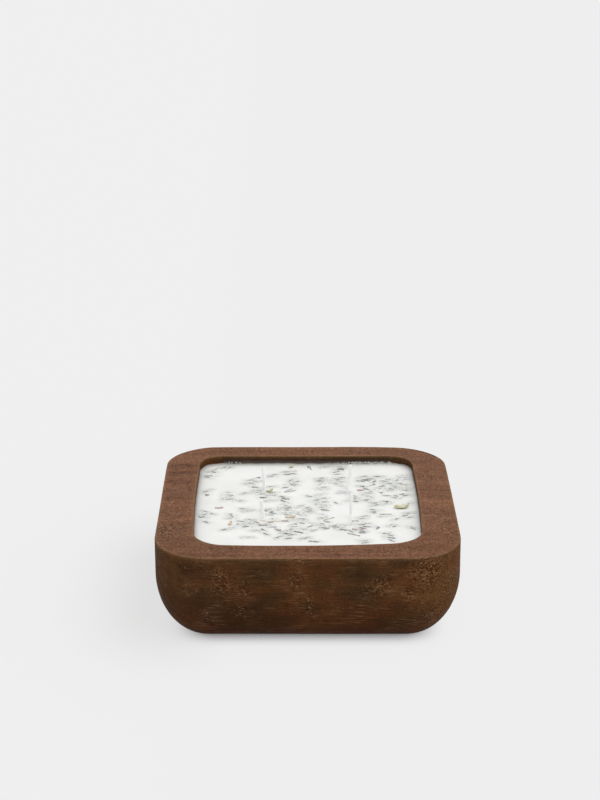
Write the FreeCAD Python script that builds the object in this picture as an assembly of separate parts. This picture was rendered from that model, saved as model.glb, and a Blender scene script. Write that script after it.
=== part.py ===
import FreeCAD, Part

import math
import os
import random
from typing import NamedTuple

from FreeCAD import Rotation, Vector

# A four-wick candle: soft wax poured into a square wooden bowl and strewn with dried lavender.
# Millimetres, +Z up, +X to the right, +Y to the back. The origin is the middle of the flat foot.

# ---------------------------------------------------------------- driving dimensions

# The bowl, carved from one block. Its walls stand upright at the rim and curve in to a flat foot.
BOWL_WIDTH = 150.0
BOWL_DEPTH = 150.0
BOWL_HEIGHT = 50.0
FOOT_CORNER_RADIUS = 2.0
FLARE_INSET = 24.5
FLARE_HEIGHT = 32.0
RIM_EDGE_RADIUS = 0.8

# The cavity that holds the wax.
SIDE_RIM_WIDTH = 18.0
END_RIM_WIDTH = 15.0
FLOOR_THICKNESS = 12.0
FLOOR_CORNER_RADIUS = 2.0
FLOOR_ROUNDING = 13.0
MOUTH_EDGE_RADIUS = 0.6

# The wax stands below the rim and creeps up the wood where it meets it.
RIM_TO_WAX = 4.8
CREEP_HEIGHT = 0.6
CREEP_WIDTH = 1.6

# Four wicks on a rectangular grid, a little behind the middle.
WICK_SPACING_X = 44.0
WICK_SPACING_Y = 39.0
WICK_GRID_SHIFT_Y = 4.5
WICK_RADIUS = 1.0
WICK_BEND_RADIUS = 8.0
WICK_BEND_DEPTH = 1.0

# Each wick is crimped in the neck of a sheet-steel tab, which a sticker holds to the floor.
STICKER_RADIUS = 8.0
STICKER_THICKNESS = 1.0
TAB_RADIUS = 9.0
TAB_THICKNESS = 0.4
NECK_WALL = 0.5
NECK_HEIGHT = 5.0

# Dried lavender, half sunk in the wax.
BUD_LENGTH = 5.2
BUD_RADIUS = 0.55
BUD_RIBS = 8
BUD_PROFILE = {0.0: 0.26, 0.25: 0.45, 0.6: BUD_RADIUS, 1.0: 0.43}
BUD_SINK = 0.2
BUD_TIP_ANGLE = 5.0
BUD_HEADING_SPREAD = 60.0
SHORTEST_BUD = 0.72
LONGEST_BUD = 1.12
FLORET_THROAT_SHARE = 0.4
STEM_SINK = 0.1
PETAL_THICKNESS = 0.3
PETAL_SINK = 0.05
CLEARANCE = 0.06
WALL_CLEARANCE = 0.5
TRIES_PER_BUD = 80
TRIES_TO_WIDEN = 20
NUDGE_STEP = 0.5
SEED = 34


class WickEnd(NamedTuple):
    """A wick's free end: how far it stands out of the wax, its lean from upright and its heading.

    Angles are in degrees. A heading of 0 is to the right and 90 to the back, here and below.
    """

    stand: float
    lean: float
    heading: float


class Bit(NamedTuple):
    """One stem, petal, floret or leaf: its place, its size in millimetres and its heading.

    across and back are shares of the wax's half width and half depth.
    """

    across: float
    back: float
    length: float
    width: float
    heading: float


class Pinch(NamedTuple):
    """Some buds that lie together: their middle, how far they reach from it, and how many they are.

    across and back are shares of the wax's half width and half depth. wide and deep are millimetres.
    """

    across: float
    back: float
    wide: float
    deep: float
    count: int


WICK_ENDS = {
    "front_left": WickEnd(9.5, 7.0, 165.0),
    "front_right": WickEnd(13.0, 4.0, 75.0),
    "back_left": WickEnd(12.0, 3.0, 150.0),
    "back_right": WickEnd(13.5, 4.0, 20.0),
}

# Pinches of buds, from the back wall to the front.
PINCHES = [
    Pinch(-0.75, 0.93, 0.8, 0.9, 2),
    Pinch(0.21, 0.93, 0.8, 1.3, 1),
    Pinch(0.32, 0.93, 0.8, 2.5, 4),
    Pinch(-0.89, 0.90, 0.8, 2.1, 2),
    Pinch(-0.15, 0.77, 0.8, 1.7, 3),
    Pinch(0.93, 0.72, 0.8, 4.1, 3),
    Pinch(-0.32, 0.72, 0.8, 1.6, 2),
    Pinch(0.68, 0.70, 0.8, 0.8, 1),
    Pinch(-0.93, 0.67, 0.8, 1.6, 2),
    Pinch(0.57, 0.60, 3.1, 2.4, 6),
    Pinch(0.80, 0.60, 2.6, 3.2, 5),
    Pinch(0.14, 0.59, 0.8, 4.8, 4),
    Pinch(0.30, 0.59, 2.5, 5.2, 6),
    Pinch(-0.51, 0.57, 1.8, 3.2, 5),
    Pinch(-0.13, 0.57, 1.7, 3.2, 4),
    Pinch(-0.19, 0.46, 0.8, 2.0, 1),
    Pinch(0.93, 0.44, 0.8, 9.5, 7),
    Pinch(0.74, 0.42, 2.8, 4.3, 7),
    Pinch(0.14, 0.40, 0.8, 1.6, 2),
    Pinch(-0.44, 0.38, 0.8, 1.9, 3),
    Pinch(-0.15, 0.35, 0.8, 1.5, 1),
    Pinch(0.57, 0.34, 1.6, 6.2, 6),
    Pinch(-0.93, 0.33, 0.8, 3.1, 3),
    Pinch(-0.57, 0.32, 0.8, 1.5, 1),
    Pinch(0.35, 0.32, 0.8, 1.1, 2),
    Pinch(-0.36, 0.32, 2.2, 4.3, 5),
    Pinch(-0.72, 0.27, 0.8, 6.2, 4),
    Pinch(0.81, 0.23, 0.8, 1.5, 2),
    Pinch(0.43, 0.20, 0.8, 3.8, 4),
    Pinch(0.11, 0.14, 2.1, 4.5, 7),
    Pinch(-0.62, 0.13, 0.8, 0.8, 1),
    Pinch(-0.20, 0.13, 0.8, 3.8, 5),
    Pinch(0.66, 0.09, 2.7, 1.9, 4),
    Pinch(0.27, 0.06, 0.8, 1.5, 1),
    Pinch(0.15, -0.01, 0.8, 1.4, 2),
    Pinch(-0.52, -0.05, 2.7, 1.8, 3),
    Pinch(0.01, -0.09, 0.8, 1.8, 4),
    Pinch(-0.17, -0.10, 0.8, 3.7, 5),
    Pinch(-0.33, -0.11, 2.6, 2.9, 5),
    Pinch(0.59, -0.12, 0.8, 1.4, 3),
    Pinch(-0.93, -0.13, 0.8, 3.3, 3),
    Pinch(-0.07, -0.14, 0.8, 4.4, 4),
    Pinch(-0.86, -0.14, 0.8, 0.8, 1),
    Pinch(0.13, -0.17, 0.8, 1.0, 1),
    Pinch(0.93, -0.18, 0.8, 1.8, 2),
    Pinch(0.69, -0.19, 0.8, 1.0, 1),
    Pinch(-0.69, -0.22, 1.2, 2.1, 3),
    Pinch(-0.05, -0.28, 0.8, 1.4, 2),
    Pinch(0.78, -0.30, 0.8, 1.0, 1),
    Pinch(0.14, -0.30, 2.0, 3.6, 3),
    Pinch(-0.93, -0.31, 0.8, 1.4, 1),
    Pinch(0.47, -0.33, 3.7, 6.1, 8),
    Pinch(-0.55, -0.36, 3.3, 3.5, 7),
    Pinch(0.76, -0.42, 2.0, 0.8, 2),
    Pinch(-0.35, -0.42, 2.3, 4.2, 6),
    Pinch(0.08, -0.43, 3.7, 2.8, 8),
    Pinch(0.93, -0.46, 0.8, 1.3, 2),
    Pinch(0.28, -0.46, 1.4, 2.0, 4),
    Pinch(0.45, -0.50, 1.6, 2.7, 3),
    Pinch(-0.71, -0.50, 0.8, 0.8, 1),
    Pinch(-0.44, -0.54, 0.8, 1.3, 1),
    Pinch(-0.14, -0.57, 4.7, 5.5, 9),
    Pinch(-0.52, -0.65, 0.8, 0.8, 1),
    Pinch(0.71, -0.67, 1.1, 3.7, 4),
    Pinch(0.50, -0.74, 0.8, 0.8, 2),
    Pinch(0.06, -0.75, 0.8, 0.9, 1),
]

STEMS = [
    Bit(-0.29, -0.30, 15.0, 0.6, 4.0),
    Bit(0.19, -0.27, 7.0, 0.6, 35.0),
    Bit(-0.15, 0.35, 6.5, 0.6, 20.0),
    Bit(0.70, -0.17, 6.0, 0.6, 5.0),
    Bit(-0.86, 0.87, 6.0, 0.7, 45.0),
    Bit(0.40, -0.60, 7.0, 0.6, 150.0),
]

FLORETS = [
    Bit(0.31, 0.86, 5.0, 1.6, 12.0),
    Bit(0.04, 0.90, 4.5, 1.6, 110.0),
    Bit(0.60, 0.49, 4.5, 1.5, 35.0),
    Bit(0.67, 0.33, 4.0, 1.5, -50.0),
    Bit(-0.37, -0.51, 4.5, 1.5, 140.0),
    Bit(-0.13, -0.38, 4.0, 1.5, 5.0),
    Bit(0.60, -0.48, 4.5, 1.6, 60.0),
    Bit(-0.47, 0.66, 4.5, 1.5, 15.0),
]

ORANGE_PETALS = [
    Bit(-0.68, -0.37, 4.0, 1.8, 75.0),
    Bit(-0.15, -0.235, 5.5, 1.4, 8.0),
]

PINK_PETALS = [
    Bit(-0.79, -0.03, 4.5, 1.2, 3.0),
    Bit(0.44, -0.50, 6.0, 1.4, -10.0),
    Bit(0.50, 0.37, 4.5, 1.2, 15.0),
    Bit(-0.26, -0.50, 4.0, 1.2, -35.0),
]

GREEN_LEAVES = [
    Bit(0.85, -0.03, 7.5, 3.4, 4.0),
    Bit(-0.13, 0.93, 3.2, 2.0, 60.0),
    Bit(-0.34, 0.34, 4.5, 1.6, 35.0),
]

# ---------------------------------------------------------------- sizes that follow

WAX_LEVEL = BOWL_HEIGHT - RIM_TO_WAX
CAVITY_HALF_X = BOWL_WIDTH / 2 - SIDE_RIM_WIDTH
CAVITY_HALF_Y = BOWL_DEPTH / 2 - END_RIM_WIDTH
CAVITY_CORNER_RADIUS = FLOOR_CORNER_RADIUS + FLOOR_ROUNDING
BOWL_CORNER_RADIUS = FOOT_CORNER_RADIUS + FLARE_INSET
QUARTER_WEIGHT = math.sqrt(0.5)
UP = Vector(0, 0, 1)
ALONG = Vector(1, 0, 0)
ORIGIN = Vector(0, 0, 0)


def line(*points):
    """Straight edges from each (out, up) point to the next, in the XZ plane."""
    corners = [Vector(out, 0, up) for out, up in points]
    return [Part.makeLine(a, b) for a, b in zip(corners, corners[1:])]


def quarter_round(start, corner, end):
    """A quarter of an ellipse from start to end that turns at corner, in the XZ plane."""
    curve = Part.BezierCurve()
    curve.setPoles([Vector(out, 0, up) for out, up in (start, corner, end)])
    curve.setWeight(2, QUARTER_WEIGHT)
    return [curve.toShape()]


def rounded_block(half_x, half_y, corner_radius, edges, bottom, top):
    """A block with round corners whose wall has the profile that edges draw.

    The profile is measured outward from a corner's upright axis, and runs from the axis at
    bottom to the axis at top. corner_radius is its widest reach.
    """
    axis_x = half_x - corner_radius
    axis_y = half_y - corner_radius
    profile = Part.Face(Part.Wire(edges + line((0, top), (0, bottom))))
    size = Vector(2 * axis_x, 2 * axis_y, top - bottom)
    core = Part.makeBox(size.x, size.y, size.z, Vector(-axis_x, -axis_y, bottom))
    quarter = profile.revolve(ORIGIN, UP, 90)
    places = [(axis_x, axis_y), (-axis_x, axis_y), (-axis_x, -axis_y), (axis_x, -axis_y)]
    pieces = []
    for turn, (x, y) in enumerate(places):
        run = size.x if turn % 2 else size.y
        wall = profile.extrude(Vector(0, -run, 0))
        for piece in (quarter.copy(), wall):
            piece.rotate(ORIGIN, UP, 90 * turn)
            piece.translate(Vector(x, y, 0))
            pieces.append(piece)
    return core.multiFuse(pieces).removeSplitter().Solids[0]


def cavity_floor_edges():
    """The profile of the cavity's floor and the rounding up to its wall."""
    radius = CAVITY_CORNER_RADIUS
    start = (FLOOR_CORNER_RADIUS, FLOOR_THICKNESS)
    end = (radius, FLOOR_THICKNESS + FLOOR_ROUNDING)
    floor = line((0, FLOOR_THICKNESS), start)
    return floor + quarter_round(start, (radius, FLOOR_THICKNESS), end)


def make_bowl():
    """The wooden block, rounded outside and hollowed out from above."""
    radius = BOWL_CORNER_RADIUS
    shoulder = BOWL_HEIGHT - RIM_EDGE_RADIUS
    foot = (FOOT_CORNER_RADIUS, 0)
    skin = line((0, 0), foot)
    skin += quarter_round(foot, (radius, 0), (radius, FLARE_HEIGHT))
    skin += line((radius, FLARE_HEIGHT), (radius, shoulder))
    rim_edge = (radius - RIM_EDGE_RADIUS, BOWL_HEIGHT)
    skin += quarter_round((radius, shoulder), (radius, BOWL_HEIGHT), rim_edge)
    skin += line(rim_edge, (0, BOWL_HEIGHT))
    block = rounded_block(BOWL_WIDTH / 2, BOWL_DEPTH / 2, radius, skin, 0, BOWL_HEIGHT)

    wall = CAVITY_CORNER_RADIUS
    mouth = wall + MOUTH_EDGE_RADIUS
    lip = BOWL_HEIGHT - MOUTH_EDGE_RADIUS
    above = BOWL_HEIGHT + RIM_TO_WAX
    hollow = cavity_floor_edges()
    hollow += line((wall, FLOOR_THICKNESS + FLOOR_ROUNDING), (wall, lip))
    hollow += quarter_round((wall, lip), (wall, BOWL_HEIGHT), (mouth, BOWL_HEIGHT))
    hollow += line((mouth, BOWL_HEIGHT), (mouth, above), (0, above))
    cavity = rounded_block(CAVITY_HALF_X, CAVITY_HALF_Y, wall, hollow, FLOOR_THICKNESS, above)
    return block.cut(cavity)


def make_wax_block():
    """The wax as poured, before anything that stands or lies in it takes its room."""
    wall = CAVITY_CORNER_RADIUS
    crest = (wall, WAX_LEVEL + CREEP_HEIGHT)
    creep_start = (wall - CREEP_WIDTH, WAX_LEVEL)
    edges = cavity_floor_edges()
    edges += line((wall, FLOOR_THICKNESS + FLOOR_ROUNDING), crest, creep_start, (0, WAX_LEVEL))
    return rounded_block(CAVITY_HALF_X, CAVITY_HALF_Y, wall, edges, FLOOR_THICKNESS, WAX_LEVEL)


def wick_places():
    """Each wick's name and the point on the cavity's floor below it."""
    places = {}
    for row, side_y in (("front", -1), ("back", 1)):
        for column, side_x in (("left", -1), ("right", 1)):
            x = side_x * WICK_SPACING_X / 2
            y = side_y * WICK_SPACING_Y / 2 + WICK_GRID_SHIFT_Y
            places[f"{row}_{column}"] = Vector(x, y, FLOOR_THICKNESS)
    return places


def heading_vector(degrees):
    """The level unit vector that points along a heading."""
    return Vector(math.cos(math.radians(degrees)), math.sin(math.radians(degrees)), 0)


def make_wick(foot, free_end):
    """A round wick that stands in its tab, bends just under the wax and leans from there."""
    angle = math.radians(free_end.lean)
    side = heading_vector(free_end.heading)
    start = foot + UP * STICKER_THICKNESS
    bend_start = foot + UP * (WAX_LEVEL - WICK_BEND_DEPTH - FLOOR_THICKNESS)

    def along_bend(turn):
        out = WICK_BEND_RADIUS * (1 - math.cos(turn))
        return bend_start + side * out + UP * (WICK_BEND_RADIUS * math.sin(turn))

    bend_end = along_bend(angle)
    rise = free_end.stand + WICK_BEND_DEPTH - WICK_BEND_RADIUS * math.sin(angle)
    tip = bend_end + (side * math.tan(angle) + UP) * rise
    path = [
        Part.makeLine(start, bend_start),
        Part.Arc(bend_start, along_bend(angle / 2), bend_end).toShape(),
        Part.makeLine(bend_end, tip),
    ]
    section = Part.Wire([Part.makeCircle(WICK_RADIUS, start, UP)])
    return Part.Wire(path).makePipeShell([section], True, True)


def make_tab(foot):
    """A steel disc with a neck that grips the wick."""
    base = foot + UP * STICKER_THICKNESS
    disc = Part.makeCylinder(TAB_RADIUS, TAB_THICKNESS, base)
    neck = Part.makeCylinder(WICK_RADIUS + NECK_WALL, NECK_HEIGHT, base)
    bore = Part.makeCylinder(WICK_RADIUS, NECK_HEIGHT, base)
    return disc.fuse(neck).removeSplitter().cut(bore)


def make_sticker(foot):
    """The foam sticker between the tab and the floor."""
    return Part.makeCylinder(STICKER_RADIUS, STICKER_THICKNESS, foot)


def make_bud(length):
    """A dried lavender calyx with flat ribs, centred along X, its stalk end at -X, its mouth at +X."""
    rings = []
    for share, radius in BUD_PROFILE.items():
        turns = [2 * math.pi * rib / BUD_RIBS for rib in range(BUD_RIBS)]
        along = length * (share - 0.5)
        rings.append([Vector(along, radius * math.cos(turn), radius * math.sin(turn)) for turn in turns])
    outlines = [rings[0], rings[-1]]
    for near, far in zip(rings, rings[1:]):
        for i in range(BUD_RIBS):
            outlines.append([near[i - 1], near[i], far[i], far[i - 1]])
    faces = [Part.Face(Part.makePolygon(outline + outline[:1])) for outline in outlines]
    return Part.Solid(Part.Shell(faces))


def make_floret(bit):
    """A fallen lavender flower, centred along X: a short tube that widens to its mouth."""
    throat = bit.width / 2 * FLORET_THROAT_SHARE
    return Part.makeCone(throat, bit.width / 2, bit.length, Vector(-bit.length / 2, 0, 0), ALONG)


def make_stem(bit):
    """A straight bit of stalk, centred along X."""
    return Part.makeCylinder(bit.width / 2, bit.length, Vector(-bit.length / 2, 0, 0), ALONG)


def make_petal(bit):
    """A thin oval plate, centred, with its length along X."""
    stretch = FreeCAD.Matrix()
    stretch.scale(bit.length / 2, bit.width / 2, 1)
    disc = Part.makeCylinder(1, PETAL_THICKNESS, Vector(0, 0, -PETAL_THICKNESS / 2))
    return disc.transformGeometry(stretch)


def gap_between(a, b, c, d):
    """The shortest distance in plan between the segments from a to b and from c to d."""

    def to_segment(point, start, end):
        run = end - start
        if run.Length == 0:
            return (point - start).Length
        share = max(0.0, min(1.0, (point - start).dot(run) / run.dot(run)))
        return (point - start - run * share).Length

    def side_of(start, end, point):
        return (end - start).cross(point - start).z

    if side_of(a, b, c) * side_of(a, b, d) < 0 and side_of(c, d, a) * side_of(c, d, b) < 0:
        return 0.0
    return min(to_segment(a, c, d), to_segment(b, c, d), to_segment(c, a, b), to_segment(d, a, b))


class Bar(NamedTuple):
    """The room that one bit takes in plan: all that is within radius of a segment."""

    start: Vector
    end: Vector
    radius: float


def bar_about(middle, length, radius, heading):
    """The bar of a bit of this length that lies about middle."""
    reach = heading_vector(heading) * (length / 2)
    return Bar(middle - reach, middle + reach, radius)


def nudges():
    """Steps away from a place, in rings that grow, with no step at all first."""
    yield Vector(0, 0, 0)
    for ring in range(1, 40):
        for eighth in range(8):
            yield heading_vector(45 * eighth) * (NUDGE_STEP * ring)


class Strewing:
    """Lays bits on the wax, each clear of the wall, of the wicks and of what lies there already."""

    def __init__(self):
        self.taken = []
        for name, foot in wick_places().items():
            stand, lean, heading = WICK_ENDS[name]
            foot_in_plan = Vector(foot.x, foot.y, 0)
            reach = heading_vector(heading) * (stand * math.tan(math.radians(lean)))
            self.taken.append(Bar(foot_in_plan, foot_in_plan + reach, WICK_RADIUS))

    def is_free(self, bar):
        """Whether a bar is clear of the wall and of every bar that is taken."""
        room = CAVITY_CORNER_RADIUS - CREEP_WIDTH - WALL_CLEARANCE - bar.radius
        for point in (bar.start, bar.end):
            over_x = max(0.0, abs(point.x) - (CAVITY_HALF_X - CAVITY_CORNER_RADIUS))
            over_y = max(0.0, abs(point.y) - (CAVITY_HALF_Y - CAVITY_CORNER_RADIUS))
            if math.hypot(over_x, over_y) > room:
                return False
        for other in self.taken:
            gap = gap_between(bar.start, bar.end, other.start, other.end)
            if gap < bar.radius + other.radius + CLEARANCE:
                return False
        return True

    def lay(self, shape, bar, heading, sink, tip=0.0):
        """Moves a shape from the origin to the middle of its bar, sunk in the wax."""
        self.taken.append(bar)
        place = (bar.start + bar.end) / 2 + UP * (WAX_LEVEL - sink)
        shape.Placement = FreeCAD.Placement(place, Rotation(heading, tip, 0)).multiply(shape.Placement)
        return shape

    def lay_bits(self, bits, make, sink):
        """Lays each bit of a list at its own place, or at the nearest one that is free."""
        solids = []
        for bit in bits:
            target = Vector(bit.across * CAVITY_HALF_X, bit.back * CAVITY_HALF_Y, 0)
            bars = (bar_about(target + nudge, bit.length, bit.width / 2, bit.heading) for nudge in nudges())
            bar = next(filter(self.is_free, bars))
            solids.append(self.lay(make(bit), bar, bit.heading, sink))
        return solids

    def scatter_pinch(self, pinch, chance):
        """Scatters a pinch's buds where they are free, and wider with each try. Most lie nearly along X."""
        target = Vector(pinch.across * CAVITY_HALF_X, pinch.back * CAVITY_HALF_Y, 0)
        solids = []
        for attempt in range(TRIES_PER_BUD * pinch.count):
            if len(solids) == pinch.count:
                break
            share = math.sqrt(chance.random()) * (1 + attempt / TRIES_TO_WIDEN)
            turn = chance.uniform(0, 2 * math.pi)
            offset = Vector(pinch.wide * math.cos(turn), pinch.deep * math.sin(turn), 0) * share
            length = BUD_LENGTH * chance.uniform(SHORTEST_BUD, LONGEST_BUD)
            heading = chance.triangular(-BUD_HEADING_SPREAD, BUD_HEADING_SPREAD) + chance.choice((0, 180))
            tip = chance.uniform(-BUD_TIP_ANGLE, BUD_TIP_ANGLE)
            bar = bar_about(target + offset, length, BUD_RADIUS, heading)
            if self.is_free(bar):
                solids.append(self.lay(make_bud(length), bar, heading, BUD_SINK, tip))
        return solids

    def scatter_buds(self):
        """Scatters every pinch of buds."""
        chance = random.Random(SEED)
        return [solid for pinch in PINCHES for solid in self.scatter_pinch(pinch, chance)]


def make_plants():
    """All that is strewn on the wax, by node name."""
    strewing = Strewing()
    return {
        "flower_stems": strewing.lay_bits(STEMS, make_stem, STEM_SINK),
        "lavender_florets": strewing.lay_bits(FLORETS, make_floret, BUD_SINK),
        "orange_petals": strewing.lay_bits(ORANGE_PETALS, make_petal, PETAL_SINK),
        "pink_petals": strewing.lay_bits(PINK_PETALS, make_petal, PETAL_SINK),
        "green_leaves": strewing.lay_bits(GREEN_LEAVES, make_petal, PETAL_SINK),
        "lavender_buds": strewing.scatter_buds(),
    }


def make_wicks():
    """Each wick with its tab and its sticker, by node name."""
    nodes = {}
    for name, foot in wick_places().items():
        nodes[f"wick_{name}"] = [make_wick(foot, WICK_ENDS[name])]
        nodes[f"wick_tab_{name}"] = [make_tab(foot)]
        nodes[f"tab_sticker_{name}"] = [make_sticker(foot)]
    return nodes


def main():
    """Builds every piece and writes one STEP file for each node."""
    held = make_wicks() | make_plants()
    wax = make_wax_block().cut([shape for shapes in held.values() for shape in shapes])
    nodes = {"bowl": [make_bowl()], "wax_fill": [wax]} | held
    os.makedirs("parts", exist_ok=True)
    for name, shapes in nodes.items():
        solids = [solid for shape in shapes for solid in shape.Solids]
        node = solids[0] if len(solids) == 1 else Part.makeCompound(solids)
        node.exportStep(f"parts/{name}.step")
        volume = sum(solid.Volume for solid in solids) / 1000
        print(f"{name}: {len(solids)} solid(s), {volume:.3f} cm3, valid {node.isValid()}")


main()
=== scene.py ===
"""The looks of a four-wick lavender candle in a carved wooden bowl.

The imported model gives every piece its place. The bowl, the wax, the wicks and all that is strewn on
the wax are modelled here in detail around it. The tabs and stickers under the wax keep their shape.
Lengths are metres, +Z is up, and the origin is the middle of the bowl's foot.
"""

import logging
import math
import random
from collections.abc import Sequence
from dataclasses import dataclass
from enum import Enum
from functools import partial

import bpy
import numpy as np
from mathutils import Matrix, Vector, noise


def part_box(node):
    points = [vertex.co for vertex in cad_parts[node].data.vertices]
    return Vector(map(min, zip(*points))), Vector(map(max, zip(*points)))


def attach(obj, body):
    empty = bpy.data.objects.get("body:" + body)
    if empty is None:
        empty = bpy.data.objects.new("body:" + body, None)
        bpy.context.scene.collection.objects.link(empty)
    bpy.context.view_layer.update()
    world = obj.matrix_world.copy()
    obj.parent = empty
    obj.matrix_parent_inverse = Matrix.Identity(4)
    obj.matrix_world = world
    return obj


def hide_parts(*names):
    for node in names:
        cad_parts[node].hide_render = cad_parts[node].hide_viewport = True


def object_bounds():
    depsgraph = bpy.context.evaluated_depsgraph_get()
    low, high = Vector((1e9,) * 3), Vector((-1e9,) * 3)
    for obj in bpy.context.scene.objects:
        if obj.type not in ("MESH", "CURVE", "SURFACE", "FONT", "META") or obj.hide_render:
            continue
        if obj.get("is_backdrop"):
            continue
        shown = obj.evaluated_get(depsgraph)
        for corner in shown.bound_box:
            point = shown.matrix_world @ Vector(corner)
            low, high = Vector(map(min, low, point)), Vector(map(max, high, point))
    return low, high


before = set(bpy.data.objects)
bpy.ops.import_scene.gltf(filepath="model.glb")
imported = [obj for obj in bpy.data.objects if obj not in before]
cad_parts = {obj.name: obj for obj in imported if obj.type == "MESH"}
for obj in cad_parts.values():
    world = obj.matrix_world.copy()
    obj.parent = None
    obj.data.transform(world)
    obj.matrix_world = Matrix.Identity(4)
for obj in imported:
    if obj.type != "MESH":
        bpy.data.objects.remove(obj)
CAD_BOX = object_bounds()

LOG = logging.getLogger("candle")
MM = 0.001
BODY = "root"

# Where a colour mix takes its two colours and gives the result.
MIX_A, MIX_B, MIX_OUT = 6, 7, 2

Colour = tuple[float, float, float, float]
Scale = tuple[float, float, float]
Faces = list[tuple[int, ...]]
Tree = bpy.types.NodeTree
Socket = bpy.types.NodeSocket


# ---------------------------------------------------------------- colours and nodes


def linear(hex_colour: str) -> Colour:
    """Turns an sRGB colour to the linear one that shaders use.

    Args:
        hex_colour: the colour as #rrggbb.

    Returns:
        The linear red, green and blue, and an alpha of 1.
    """
    channels = [int(hex_colour[i : i + 2], 16) / 255 for i in (1, 3, 5)]
    return (*(c / 12.92 if c <= 0.04045 else ((c + 0.055) / 1.055) ** 2.4 for c in channels), 1.0)


def grey(value: float) -> Colour:
    """A neutral colour of one linear value."""
    return (value, value, value, 1.0)


def per_mm(along_x: float, along_y: float, along_z: float) -> Scale:
    """Gives the scale at which a pattern repeats at a real size.

    Args:
        along_x: the pattern's size along X, in millimetres.
        along_y: the same along Y.
        along_z: the same along Z.

    Returns:
        The factors that turn metres to repeats of the pattern.
    """
    return (1 / (along_x * MM), 1 / (along_y * MM), 1 / (along_z * MM))


def add_node(
    tree: Tree,
    kind: str,
    settings: dict | None = None,
    links: dict | None = None,
    stops: Sequence[tuple[float, str]] = (),
    **options: object,
) -> bpy.types.Node:
    """Adds a shader node with its settings and links.

    Args:
        tree: the node tree that it goes in.
        kind: the node's type, without the ShaderNode that all of them start with.
        settings: the value of each unlinked input, by the input's name or number.
        links: the output that feeds each linked input, by the input's name or number.
        stops: for a colour ramp, its places and sRGB colours.
        options: the node's own properties.

    Returns:
        The new node.
    """
    node = tree.nodes.new(f"ShaderNode{kind}")
    for name, value in options.items():
        setattr(node, name, value)
    for name, value in (settings or {}).items():
        node.inputs[name].default_value = value
    for name, output in (links or {}).items():
        tree.links.new(output, node.inputs[name])
    if stops:
        elements = node.color_ramp.elements
        while len(elements) < len(stops):
            elements.new(1.0)
        for element, (place, colour) in zip(elements, stops):
            element.position = place
            element.color = linear(colour)
    return node


def coated(tree: Tree, colour: Socket, coats: Sequence[tuple[Socket, str]]) -> Socket:
    """Lays tones over a colour, one after another.

    Args:
        tree: the material's nodes.
        colour: what they go over.
        coats: how much each one covers, 0 to 1, and its tone.

    Returns:
        The coated colour.
    """
    for share, tone in coats:
        settings, links = {MIX_B: linear(tone)}, {0: share, MIX_A: colour}
        colour = add_node(tree, "Mix", settings, links, data_type="RGBA").outputs[MIX_OUT]
    return colour


def is_looked_at(tree: Tree) -> Socket:
    """Tells the rays that show a backdrop, at first hand or in metal or glass, from all others.

    Args:
        tree: the node tree of the backdrop.

    Returns:
        1 for a ray that shows the backdrop, 0 for any other.
    """
    rays = add_node(tree, "LightPath")
    seen = rays.outputs["Is Camera Ray"]
    for kind in ("Is Glossy Ray", "Is Transmission Ray"):
        links = {0: seen, 1: rays.outputs[kind]}
        seen = add_node(tree, "Math", links=links, operation="MAXIMUM").outputs[0]
    return seen


class Finish:
    """A material made from nodes. A subclass gives its name and its shader."""

    name: str

    def shader(self, tree: Tree) -> Socket:
        """Lays out the finish.

        Args:
            tree: the material's nodes.

        Returns:
            The finish's shader.
        """
        raise NotImplementedError

    def material(self) -> bpy.types.Material:
        """Makes the finish.

        Returns:
            The material, ready to go on a mesh.
        """
        material = bpy.data.materials.new(self.name)
        material.use_nodes = True
        tree = material.node_tree
        tree.nodes.clear()
        add_node(tree, "OutputMaterial", links={"Surface": self.shader(tree)})
        return material


# ---------------------------------------------------------------- finishes


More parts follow.
